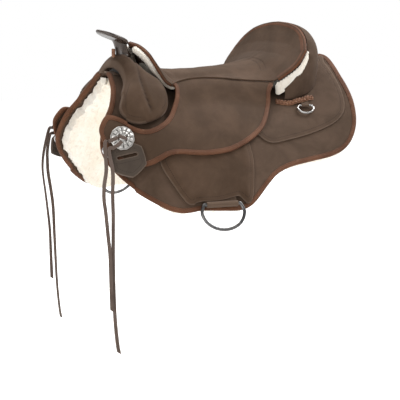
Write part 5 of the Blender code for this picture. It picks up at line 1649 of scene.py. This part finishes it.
@dataclass
class Seat:
    """The seat's leather, its foam, its bindings and the fleece under its front."""

    leather: float = 3 * MM
    arcs: tuple[float, float] = (0.70, 0.745)
    arc_depth: float = 0.8 * MM
    arc_bow: float = 0.16
    arc_width: float = 2 * MM
    length: float = 360 * MM
    wear: float = 0.7 * MM
    edge_reach: float = 0.992
    inner: float = 0.965
    roll: float = 7 * MM
    roll_drop: float = 8.5 * MM
    roll_in: float = 6.5 * MM
    roll_tuck: float = 4.5 * MM
    roll_start: float = 0.10
    roll_points: int = 18
    columns: int = 130
    rows: int = 190

    def build(self) -> None:
        """Makes the seat's pieces."""
        cover = grid_piece("seat_leather", self.columns, self.rows, self.face)
        v, u = np.meshgrid(np.linspace(0, 1, self.rows + 1),
                           np.linspace(-1, 1, self.columns + 1), indexing="ij")
        # Painted shade along the sewn arcs.
        mark(cover, "fold", 0.45 * self.sewn(u.ravel(), v.ravel()))
        finish_with(cover, thicken(self.leather, -1.0))
        outward(cover)
        mark(cover, "edge", UNSEWN)
        dress(cover, Finish.NUBUCK, node="seat_cover")
        self.build_bindings()
        for name, node in (("seat_foam_front", "ground_seat"), ("seat_foam_rear", "dish_pad")):
            soften(name, node, Finish.FOAM)

    def face(self, u: Rows, v: Rows) -> Rows:
        """The seat's face, quilted by two sewn arcs and gently worn.

        Args:
            u: Shares across.
            v: Shares along.

        Returns:
            World points.
        """
        places, normal = SEAT.point(u, v, 0.0)
        free = smooth((1 - np.abs(u)) / 0.06) * smooth(v / 0.04) * smooth((1 - v) / 0.04)
        wear = self.wear * (ripple(places, 22.0, 3.0) + 0.5 * ripple(places, 55.0, 8.0))
        return places + normal * ((wear - self.arc_depth * self.sewn(u, v)) * free)[:, None]

    def sewn(self, u: Rows, v: Rows) -> Rows:
        """How near places of shares u and v are to the sewn arcs, 1 on one."""
        inner = 1 - smooth((np.abs(u) - 0.55) / 0.12)
        return inner * sum(bell((v - start + self.arc_bow * u * u) * self.length
                                / self.arc_width) for start in self.arcs)

    def bind(self, name: str, node: str, at: tuple[Rows, Rows], inner: tuple[Rows, Rows],
             strip: Binding) -> tuple[Rows, Rows, Rows]:
        """Binds a length of the seat's edge.

        Args:
            name: The piece's name.
            node: The CAD node that it replaces.
            at: Shares across and along at the edge.
            inner: The same, a little inside.
            strip: The binding.

        Returns:
            Edge points, out directions and up directions.
        """
        here, normal = SEAT.point(*at, self.leather / 2)
        inside, _ = SEAT.point(*inner, self.leather / 2)
        along = unit(np.gradient(here, axis=0))
        out = square_to(here - inside, along)
        up = np.cross(out, along)
        up *= np.where((up * normal).sum(1) < 0, -1, 1)[:, None]
        section, aside = strip.section(self.leather)
        binding = tube(name, swept(here, out, up, section), run=run_of(here), aside=aside)
        dress(binding, Finish.RUST, node=node)
        return here, out, up

    def build_bindings(self) -> None:
        """Binding on the front edge and on the rim, and the fleece rolls below."""
        line = np.linspace(-self.edge_reach, self.edge_reach, 120)
        found = self.bind("seat_front_binding", "seat_binding", (line, 0 * line),
                          (line, 0 * line + SEAT.step), Binding())
        for word, side in SIDES.items():
            self.build_roll(word, side, line, *found)
        lower = np.linspace(SEAT.seam_end + 0.035, 1.0, 40)[:-1]
        ends = np.ones(len(lower))
        u = np.concatenate([-ends, np.linspace(-1, 1, 150), ends])
        v = np.concatenate([lower, np.ones(150), lower[::-1]])
        inner = (np.clip(u, -self.inner, self.inner),
                 np.where(np.abs(u) < 1, self.inner, np.minimum(v, self.inner)))
        self.bind("cantle_rim_binding", "rim_binding", (u, v), inner,
                  Binding(2.4 * MM, 11 * MM, 0.7 * MM))

    def build_roll(self, word: str, side: int, line: Rows, here: Rows, out: Rows,
                   up: Rows) -> None:
        """The roll of fleece that shows under the seat's front edge.

        Args:
            word: The side's name.
            side: -1 near, 1 far.
            line: Shares across of the stations.
            here: Edge points.
            out: Out directions.
            up: Up directions.
        """
        keep = line * side > self.roll_start
        here, out, up = here[keep], out[keep], up[keep]
        tucked = smooth((np.abs(line[keep]) - 0.50) / 0.16)[:, None]
        middle = here - up * self.roll_drop - out * (self.roll_in + self.roll_tuck * tucked)
        station = np.arange(len(middle))[:, None]
        taper = smooth((station + 1) / 5) * smooth((len(middle) - station) / 5)
        lumps = 1 + 0.14 * np.sin(7.3 * full_turn(self.roll_points) + 2.1 * station)
        radius = self.roll * taper * lumps * (1 - 0.45 * tucked)
        roll = tube(f"{word}_front_fleece_roll",
                    swept(middle, out, up, circle(self.roll_points) * radius[..., None]))
        dress(roll, Finish.FLEECE, node=f"{word}_seat_fleece", crease=80)


def soften(name: str, node: str, finish: Finish) -> bpy.types.Object:
    """A hidden soft piece: a merged copy of its node with softened faces.

    Args:
        name: The piece's name.
        node: The CAD node.
        finish: Its finish.

    Returns:
        The piece.
    """
    piece = link(name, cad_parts[node].data.copy())
    piece.data.name = name
    only(piece)
    bpy.ops.object.mode_set(mode="EDIT")
    bpy.ops.mesh.select_all(action="SELECT")
    bpy.ops.mesh.remove_doubles(threshold=0.02 * MM)
    bpy.ops.mesh.dissolve_limited(angle_limit=math.radians(1))
    bpy.ops.mesh.quads_convert_to_tris()
    bpy.ops.object.mode_set(mode="OBJECT")
    finish_with(piece, DIVIDE)
    return dress(piece, finish, node=node, crease=60)


@dataclass
class Cantle:
    """The shell behind the rim, the fleece below the rim and the plaited straps."""

    leather: float = 3 * MM
    bulge: float = 32 * MM
    foot_bulge: float = 8 * MM
    fleece_half: float = 12 * MM
    fleece_thick: float = 5 * MM
    spread: float = math.radians(60)
    wave: float = 0.8 * MM
    under_rim: float = 2.2 * MM
    over_pad: float = 2.4 * MM
    full_height: float = 90 * MM
    half_turn: float = 0.9
    fleece_points: int = 22
    strands: int = 3
    strand_points: int = 10
    dee_half: float = 16 * MM
    dee_lift: float = 2.9 * MM
    lay_length: float = 21 * MM
    sway: float = 3.4 * MM
    weave_rise: float = 1.3 * MM
    strand: tuple[float, float] = (1.3 * MM, 2.2 * MM)

    def out_at(self, t: Rows) -> Rows:
        """Level directions out of the shell at t."""
        return side_by_side(np.cos(t * self.spread), np.sin(t * self.spread), 0)

    def fleece_share(self, t: Rows) -> Rows:
        """How tall the fleece below the rim is at t."""
        return smooth((np.abs(t) - 0.50) / 0.42)

    def outer(self, t: Rows, k: Rows) -> Rows:
        """The shell's outer face: t across, k from under the rim to its foot.

        Args:
            t: Places across, from -1 to 1.
            k: Shares of the way down.

        Returns:
            World points.
        """
        out = self.out_at(t)
        rim, _ = SEAT.point(*SEAT.rim_at(t), self.leather + self.under_rim)
        rim[:, 2] -= (2 * self.fleece_half + 2 * MM) * self.fleece_share(t)
        x, s = along_rows(FOOT, np.abs(t)).T
        foot = FORM.lay(side_by_side(x, s, LAYERS.pad_top + self.over_pad))
        foot[:, 1] *= np.where(t < 0, -1, 1)
        tall = np.clip((rim[:, 2] - foot[:, 2]) / self.full_height, 0.15, 1.0)[:, None]
        rim = rim + out * 1.0 * MM
        first = rim + out * self.bulge * tall ** 2
        second = foot + (np.array((0, 0, self.bulge)) + out * self.foot_bulge) * tall
        q = k[:, None]
        found = (rim * (1 - q) ** 3 + first * 3 * q * (1 - q) ** 2
                 + second * 3 * q * q * (1 - q) + foot * q ** 3)
        waves = ripple(found, 20.0, 6.0) * smooth(k / 0.2) * smooth((1 - k) / 0.2)
        return found + out * (self.wave * waves)[:, None]

    def build(self) -> None:
        """Makes the shell, the fleece wedges and the plaits."""
        shell = grid_piece("cantle_back_leather", 110, 36,
                           lambda t, k: self.outer(self.half_turn * t, k))
        finish_with(shell, thicken(self.leather, -1.0),
                    bevel(0.7 * MM, angle_limit=math.radians(50)))
        outward(shell)
        mark(shell, "edge", UNSEWN)
        # The shell's paler leather is partly painted light.
        dress(shell, Finish.PALE, node="cantle_shell")
        for word, side in SIDES.items():
            self.build_fleece(word, side)
            self.build_plait(word, side)

    def build_fleece(self, word: str, side: int) -> None:
        """The wedge of fleece below the rim on one side.

        Args:
            word: The side's name.
            side: -1 near, 1 far.
        """
        t = side * np.linspace(0.54, 0.992, 60)
        here, _ = SEAT.point(*SEAT.rim_at(t), self.leather + 1.9 * MM)
        tall = (self.fleece_half + 1 * MM) * self.fleece_share(t) + 0.4 * MM
        wide = np.minimum(tall, self.fleece_thick)
        out = self.out_at(t)
        station = np.arange(len(t))[:, None]
        lumps = 1 + 0.10 * np.sin(5.2 * full_turn(self.fleece_points) + 1.7 * station)
        section = circle(self.fleece_points) * side_by_side(wide, tall)[:, None] * lumps[..., None]
        roll = tube(f"{word}_rim_fleece",
                    swept(here + out * wide[:, None] - side_by_side(0, 0, tall), out,
                          np.array([(0, 0, 1)]), section))
        dress(roll, Finish.FLEECE, node=f"{word}_cantle_fleece", crease=80)

    def build_plait(self, word: str, side: int) -> None:
        """Strands plaited on a backing strip across the cantle's foot.

        Args:
            word: The side's name.
            side: -1 near, 1 far.
        """
        path = spline(PLAIT, 150)
        out, run = leftwards(path, False), run_of(path)
        over_dee = 1 - smooth((np.abs(path[:, 0] - RINGS[1].x) - self.dee_half) / (8 * MM))
        base = LAYERS.pad_top + 0.5 * MM + self.dee_lift * over_dee
        strands = []
        for k in range(self.strands):
            phase = math.tau * (run / self.lay_length + k / self.strands)
            x, s = (path + out * self.sway * np.sin(phase)[:, None]).T
            n = base + self.strand[1] + self.weave_rise * np.sin(2 * phase)
            world = FORM.lay(side_by_side(x, s, n), side)
            across, up = cross_axes(world, False, (0, -0.5 * side, 0.8))
            strand = tube(f"{word}_plait_strand_{k}",
                          swept(world, across, up, circle(self.strand_points) * self.strand))
            # Painted shade, darkest where the strand dips lowest.
            mark(strand, "fold", np.repeat(0.5 - 0.5 * np.sin(2 * phase), self.strand_points))
            strands.append(strand)
        half = [(5.0, 1.3), (5.5, 0.9), (5.5, 0.0)]
        section = np.array([(-a, b) for a, b in half[::-1]] + half) * MM
        x, s = (path[:, None] + out[:, None] * section[:, :1]).reshape(-1, 2).T
        n = (base[:, None] + section[:, 1] * 0.9).ravel()
        rings = FORM.lay(side_by_side(x, s, n), side).reshape(len(path), len(section), 3)
        strap = joined(tube(f"{word}_plaited_strap_leather", rings), strands)
        dress(strap, Finish.PLAITED, node=f"{word}_plaited_strap")


@dataclass
class Fork:
    """The padded swell, the horn on it and the laced tab at the horn's foot."""

    edge_thick: float = 7 * MM
    crown_top: float = 27 * MM
    crown_side: float = 22 * MM
    crown_foot: float = 9 * MM
    shoulder: float = 24 * MM
    dart_depth: float = 2.6 * MM
    dart_puff: float = 0.8 * MM
    side_s: float = 64 * MM
    foot_s: float = 70 * MM
    wave: float = 0.5 * MM
    horn_x: float = -235.5 * MM
    horn_base: float = 83 * MM
    cap_x: float = -260 * MM
    cap_z: float = 126 * MM
    neck: float = 14.5 * MM
    flare: float = 17 * MM
    cap_length: float = 36 * MM
    cap_width: float = 32 * MM
    cap_thick: float = 8 * MM
    tilt: float = math.radians(20)

    def build(self) -> None:
        """Makes the swell, the horn and the laced tab."""
        self.build_swell()
        self.build_horn()
        self.build_tab()

    def build_swell(self) -> None:
        """The padded swell, with a sewn dart on each side."""
        half = spline(FORK, 150)
        half[[0, -1], 1] = 0.0
        whole = np.vstack([half, half[-2:0:-1] * (1, -1)])
        piece = pattern_piece("fork_swell_leather", whole, 4 * MM, 4 * MM, 1.2 * MM)
        flat = places_of(piece)
        x, s = flat[:, 0], np.abs(flat[:, 1])
        edge = np.maximum(inside_by(whole, flat[:, :2])[0], 0)
        rise = np.sqrt(np.maximum(0, 1 - (1 - np.minimum(1, edge / self.shoulder)) ** 2))
        most = (self.crown_top + (self.crown_side - self.crown_top) * smooth(s / self.side_s)
                + (self.crown_foot - self.crown_side) * smooth((s - self.foot_s) / self.foot_s))
        dart = spline(FORK_DART, 60)
        away = np.sqrt(((side_by_side(x, s)[:, None] - dart[None]) ** 2).sum(2).min(1))
        thick = (self.edge_thick + most * rise - self.dart_depth * bell(away / (2.6 * MM))
                 + self.dart_puff * bell((away - 7 * MM) / (4 * MM))
                 + self.wave * ripple(flat, 26.0, 2.0) * smooth(edge / (20 * MM)))
        mark(piece, "edge", np.where(away < 20 * MM, UNSEWN, edge))
        # Painted shade along the dart.
        mark(piece, "fold", bell(away / (1.6 * MM)))
        settle(piece, flat, LAYERS.fork_under + thick * flat[:, 2] / flat[:, 2].max(), 1)
        dress(piece, Finish.NUBUCK, node="fork_swell")

    def build_horn(self) -> None:
        """The horn: a flared neck and a tilted oval cap with a rolled rim."""
        cos, sin = circle(48).T

        def ring(x: float, z: float, a: float, b: float, lean: float) -> Rows:
            """An oval of half sizes a and b, leaning forwards."""
            return side_by_side(x + a * cos * math.cos(lean), b * sin,
                                z - a * cos * math.sin(lean))

        foot = ((0, 0, 17, 0), (0, 5, 17, 0), (0, 6.4, 15.4, 0), (-0.6, 9, 14.9, 0),
                (-2.5, 17, 14, 0.2), (-5.5, 25, 14.3, 0.6))
        cap = ((17, 0.45, -1.5), (11, 0.60, -1.12), (3, 0.86, -1), (0.5, 0.95, -0.8),
               (0, 0.99, -0.3), (0, 1.0, 0.2), (0, 0.985, 0.75), (0, 0.93, 1.1), (0, 0.80, 1.15),
               (0, 0.4, 1.3), (0, 0.08, 1.35))
        rings = [ring(self.horn_x + x * MM, self.horn_base + z * MM, a * MM, a * MM,
                      self.tilt * lean) for x, z, a, lean in foot]
        rings += [ring(self.cap_x + x * MM,
                       self.cap_z + lift * self.cap_thick / 2 - x * MM * math.tan(self.tilt),
                       size * self.cap_length, size * self.cap_width, self.tilt)
                  for x, size, lift in cap]
        horn = tube("horn_cast", np.array(rings))
        finish_with(horn, DIVIDE)
        outward(horn)
        dress(horn, Finish.LACQUER, node="horn", crease=70)

    def build_tab(self) -> None:
        """The laced tab in front of the horn's foot, with its stud."""
        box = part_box("horn_lace_tab")
        low, high = np.array(box[0]) - (1.5 * MM, 0, 5 * MM), np.array(box[1])
        tab = primitive("horn_lace_loop", bpy.ops.mesh.primitive_cube_add, size=1)
        move_to(tab, places_of(tab) * (high - low) + (low + high) / 2)
        finish_with(tab, bevel(1.2 * MM, segments=3))
        stud = primitive("horn_lace_stud", bpy.ops.mesh.primitive_uv_sphere_add, segments=20,
                         ring_count=10, radius=2.2 * MM)
        middle = (low[0], 0, low[2] + 0.55 * (high[2] - low[2]))
        move_to(stud, places_of(stud) * (0.5, 1, 1) + middle)
        dress(joined(tab, [stud]), Finish.PLAITED, node="horn_lace_tab")


@dataclass
class Hanger:
    """The concho, the scalloped tab under it, and the two laces."""

    word: str
    side: int
    radius: float = 24.5 * MM
    rim: float = 1.6 * MM
    dome: float = 5.5 * MM
    tab_leather: float = 4.5 * MM
    tab_radius: float = 38 * MM
    scallop: float = 3.5 * MM
    neck: float = 14 * MM
    neck_turn: float = math.radians(26)
    pivot_run: float = 43 * MM
    corner_turn: float = math.radians(-114)
    slot_length: float = 42 * MM
    slot_width: float = 6.2 * MM
    post: float = 3.3 * MM
    rays: int = 12
    notch: float = 0.35 * MM
    petal: float = 0.28 * MM
    hole_offset: float = 8 * MM
    hole: tuple[float, float] = (13 * MM, 3.4 * MM)
    slot_shift: float = 6 * MM
    rise: float = 2.5 * MM + 2 * CLEAR
    tie_skew: float = 0.8 * MM
    lace_width: float = 7.4 * MM
    lace_thick: float = 2.4 * MM

    def axes(self) -> Rows:
        """The post's foot and the axes back, down and out, as rows."""
        return HANGER * (1, -self.side, 1)

    def place(self, flat: Rows) -> Rows:
        """World points of rows (back, down, out)."""
        return self.axes()[0] + flat @ self.axes()[1:]

    def build(self) -> None:
        """Makes the tab, the concho and the laces."""
        for tag in LACES:
            self.build_lace(tag)
        self.build_tab()
        self.build_concho()
        self.build_tie()

    def face(self, radius: Rows) -> Rows:
        """Height of the concho's face at a radius."""
        share = np.minimum(1, radius / self.radius)
        return self.tab_leather + CLEAR + self.rim + (self.dome - self.rim) * (1 - share ** 2)

    def stadium(self, centre: Rows, along: Rows, length: float, width: float) -> Rows:
        """The outline of a slot with round ends.

        Args:
            centre: Its middle.
            along: Unit direction of its length.
            length: End to end.
            width: Across.

        Returns:
            The outline.
        """
        turns = np.linspace(-math.pi / 2, math.pi / 2, 9)[:, None]
        half = (along * ((length - width) / 2 + width / 2 * np.cos(turns))
                + np.array((-along[1], along[0])) * width / 2 * np.sin(turns))
        return np.vstack([centre + half, centre - half])

    def build_tab(self) -> None:
        """The hexagonal tab with hollow sides, a neck, a slot and beaded edges."""
        toward = np.array((math.cos(self.corner_turn), math.sin(self.corner_turn)))
        centre = -self.pivot_run * toward
        turns = full_turn(192)
        turned = np.abs((turns + math.pi) % math.tau - math.pi)
        radius = (self.tab_radius - self.scallop * np.abs(np.sin(3 * turns)) ** 0.8
                  + self.neck * smooth(1 - turned / self.neck_turn))
        outline = centre + radius[:, None] * side_by_side(np.cos(turns + self.corner_turn),
                                                          np.sin(turns + self.corner_turn))
        slot = self.stadium(centre + self.slot_shift * toward, np.array((-toward[1], toward[0])),
                            self.slot_length, self.slot_width)
        piece = pattern_piece(f"{self.word}_hanger_leather", outline, 3.2 * MM,
                              self.tab_leather, 0.9 * MM, (slot, circle(24) * self.post))
        flat = places_of(piece)
        flat[:, 2] -= flat[:, 2].min()
        move_to(piece, self.place(flat))
        outward(piece)
        dress(piece, Finish.SMOOTH, f"{self.word}_hanger_tab", f"{self.word}_hanger_tab")

    def build_concho(self) -> None:
        """A domed disc with a scalloped, engraved face, two slots and its post."""
        base = self.tab_leather + CLEAR
        radius, lift, ray = CONCHO.T[..., None]
        cos, sin = circle(120).T
        waves = np.cos(self.rays * full_turn(120))
        outer = radius > GROOVES[0] + 0.1
        reach = radius * MM - self.notch * (1 - waves) * outer
        height = base + lift * MM + self.petal * ray * waves * ~outer
        rings = np.stack([reach * cos, reach * sin, height], -1)
        piece = tube(f"{self.word}_concho_engraved", self.place(rings))
        rays = 0.75 * ray * (waves < -0.55) * ~outer
        mark(piece, "cut", np.maximum(np.isin(radius, GROOVES), rays).ravel())
        self.cut_slots(piece, base)
        dress(piece, Finish.SILVER, node=f"{self.word}_concho", crease=35)

    def cut_slots(self, piece: bpy.types.Object, base: float) -> None:
        """Cuts the two lace slots."""
        for offset in (-self.hole_offset, self.hole_offset):
            slot = self.stadium(np.array((offset, 0)), np.array((0, 1)), *self.hole)
            rings = [self.place(side_by_side(*slot.T, base + z)) for z in (-1 * MM, 12 * MM)]
            cutter = tube("lace_slot_cutter", np.array(rings))
            finish_with(piece, ("BOOLEAN", {"operation": "DIFFERENCE", "object": cutter,
                                            "solver": "EXACT"}))
            bpy.data.objects.remove(cutter, do_unlink=True)

    def build_tie(self) -> None:
        """The lace's turn across the concho's face, from slot to slot."""
        line = np.linspace(-1, 1, 41)
        reach = self.hole_offset * line
        lift = self.lace_thick * 0.62 * (1 - smooth((np.abs(line) - 0.72) / 0.28) * 2.2)
        world = self.place(side_by_side(reach, self.tie_skew * np.sin(2 * line),
                                        self.face(np.abs(reach)) + lift))
        rings = self.ribbon(world, self.axes()[2], self.lace_width * 0.9)
        dress(tube(f"{self.word}_concho_tie", rings), Finish.LACE)

    def ribbon(self, world: Rows, across: Rows, width: float) -> Rows:
        """Rings of a flat lace along a path.

        Args:
            world: World points.
            across: The direction of its width, for all points or for each one.
            width: Its width.

        Returns:
            The rings.
        """
        along = unit(np.gradient(world, axis=0))
        across = square_to(across, along)
        quarter = [(0.2, 0.5), (0.44, 0.46), (0.5, 0.25)]
        upper = [(-a, b) for a, b in quarter[::-1]] + quarter
        section = np.array([(-0.5, -0.25)] + upper + [(-a, -b) for a, b in upper][:-1])
        return swept(world, across, np.cross(along, across),
                     section * (width, self.lace_thick))

    def build_lace(self, tag: str) -> None:
        """One flat lace: its knot side leaves the concho and the rest hangs free.

        Args:
            tag: "front" or "rear".
        """
        turn, start, fall = LACES[tag]
        a, b = np.array(start).T * self.radius
        rise = self.face(np.hypot(a, b)) + self.rise
        hanging = np.array(fall) * (FORM.length, self.side * SEAT_SIZE[1], 0.5)
        path = spline(np.vstack([self.place(side_by_side(a, b, rise)), hanging]), 150)
        run = run_of(path)
        _, back, _, out = self.axes()
        twist = (turn * np.sin(run * 9.0 + 0.6) * smooth((run - 0.05) / 0.1))[:, None]
        rings = self.ribbon(path, np.cos(twist) * back + np.sin(twist) * out, self.lace_width)
        slant = (rings[-1] - path[-1]) @ back * 0.9
        rings[-1] += unit(path[-1] - path[-2]) * slant[:, None]
        piece = tube(f"{self.word}_{tag}_lace", rings)
        dress(piece, Finish.LACE, node=f"{self.word}_{tag}_string")
        log.info("%s: %.0f mm long", piece.name, run[-1] / MM)


@dataclass
class Middle:
    """What crosses the back line: the leather web and the stirrup webbing."""

    leather: float = 2 * MM

    def build(self) -> None:
        """Makes the web and the webbing."""
        right = spline(WEB, 90)
        web = pattern_piece("spine_web_leather", np.vstack([right, right[::-1] * (1, -1)]),
                            6 * MM, self.leather, 0.5 * MM)
        lay_piece(web, 1, LAYERS.on_skirt, LAYERS.on_skirt + self.leather)
        dress(web, Finish.NUBUCK, node="spine_web")
        soften("stirrup_webbing_woven", "stirrup_webbing", Finish.WEBBING)


@dataclass(frozen=True)
class Studio:
    """The pale floor, the soft light and the camera at the photograph's angle."""

    yaw: float = math.radians(30)
    rise: float = math.radians(10)
    distance: float = 2.4
    aim: tuple[float, float, float] = (-0.05, 0.0, -0.235)
    pixels_per_mm: float = 0.45
    frame_pixels: float = 400.0
    sensor: float = 36.0
    lamp_size: float = 1.4
    sky: float = 0.49
    floor_size: float = 12.0
    floor_z: float = -0.52
    floor_glow: float = 0.55

    def build(self) -> None:
        """Makes the camera, the world, the floor and the lamps."""
        self.build_camera()
        self.build_world()
        self.build_floor()
        self.add_lamp("key_lamp", (1.7, -0.5, 2.1), 74.0)
        self.add_lamp("top_lamp", (-0.4, 1.1, 2.2), 48.0)
        self.add_lamp("front_lamp", (-2.0, -1.3, 0.1), 15.0)
        bpy.context.scene.view_settings.view_transform = "Standard"

    def build_camera(self) -> None:
        """The camera, level and turned towards the near front."""
        look = Vector((math.sin(self.yaw) * math.cos(self.rise),
                       math.cos(self.yaw) * math.cos(self.rise), -math.sin(self.rise)))
        right = Vector((math.cos(self.yaw), -math.sin(self.yaw), 0.0))
        data = bpy.data.cameras.new("photo_camera")
        data.sensor_width = self.sensor
        data.lens = self.sensor * self.pixels_per_mm / MM * self.distance / self.frame_pixels
        camera = link("photo_camera", data)
        turn = Matrix((right, right.cross(look), -look)).transposed().to_4x4()
        camera.matrix_world = Matrix.Translation(Vector(self.aim) - look * self.distance) @ turn
        bpy.context.scene.camera = camera

    def build_world(self) -> None:
        """An even pale sky that the camera and shiny pieces see as white."""
        world = bpy.data.worlds.new("studio")
        bpy.context.scene.world = world
        world.use_nodes = True
        wires, nodes = Wiring(world.node_tree), world.node_tree.nodes
        plain = nodes["Background"]
        wires.put(plain, Color=(1.0, 0.985, 0.965, 1), Strength=self.sky)
        white = wires.add("Background", Color=(1, 1, 1, 1), Strength=1.0)
        path = wires.add("LightPath").outputs
        seen = wires.math("MAXIMUM", path["Is Camera Ray"], path["Is Transmission Ray"])
        both = wires.add("MixShader")
        wires.feed_all(both.inputs, seen, plain.outputs[0], white.outputs[0])
        wires.feed_all(nodes["World Output"].inputs, both.outputs[0])

    def build_floor(self) -> None:
        """A pale floor that takes a faint shadow below the laces."""
        floor = primitive("studio_floor", bpy.ops.mesh.primitive_plane_add,
                          size=self.floor_size, location=(0, 0, self.floor_z))
        material = bpy.data.materials.new("studio_floor")
        material.use_nodes = True
        wires = Wiring(material.node_tree)
        seen = wires.add("LightPath").outputs["Is Camera Ray"]
        wires.put(material.node_tree.nodes["Principled BSDF"], Base_Color=(0.95, 0.95, 0.95, 1),
                  Roughness=1.0, Specular_IOR_Level=0.0, Emission_Color=(1, 1, 1, 1),
                  Emission_Strength=wires.math("MULTIPLY", seen, self.floor_glow))
        floor.data.materials.append(material)

    def add_lamp(self, name: str, place: tuple[float, float, float], power: float) -> None:
        """A soft square lamp that faces the saddle.

        Args:
            name: The lamp's name.
            place: Where it stands.
            power: Its power in watts.
        """
        data = bpy.data.lights.new(name, "AREA")
        data.shape = "SQUARE"
        data.size = self.lamp_size
        data.energy = power
        lamp = link(name, data)
        lamp.location = place
        way = Vector(self.aim) - Vector(place)
        lamp.rotation_euler = way.to_track_quat("-Z", "Y").to_euler()


def dress_nodes() -> None:
    """Gives each CAD node that stays its finish."""
    kept = {"cantle_core": Finish.LAMINATE, "pommel_arch": Finish.LAMINATE,
            "horn_bolt": Finish.STEEL, "near_stirrup_plate": Finish.STEEL,
            "far_stirrup_plate": Finish.STEEL}
    for node, finish in kept.items():
        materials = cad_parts[node].data.materials
        for slot in range(len(materials)):
            materials[slot] = SHOP.get(finish)
        if not materials:
            materials.append(SHOP.get(finish))
        log.info("%s keeps its shape", node)


def main() -> None:
    """Builds the saddle's pieces in order."""
    logging.basicConfig(level=logging.INFO, format="%(message)s")
    Studio().build()
    seam = SEAT.seam_line()
    for word, side in SIDES.items():
        Hanger(word, side).build()
        Panel(word, side).build()
        Rigging(word, side).build()
        for kind in RINGS:
            RingOnStrap(word, side, kind).build()
        Jockey(word, side, seam).build()
    Seat().build()
    Cantle().build()
    Fork().build()
    Middle().build()
    dress_nodes()


if __name__ == "__main__":
    main()
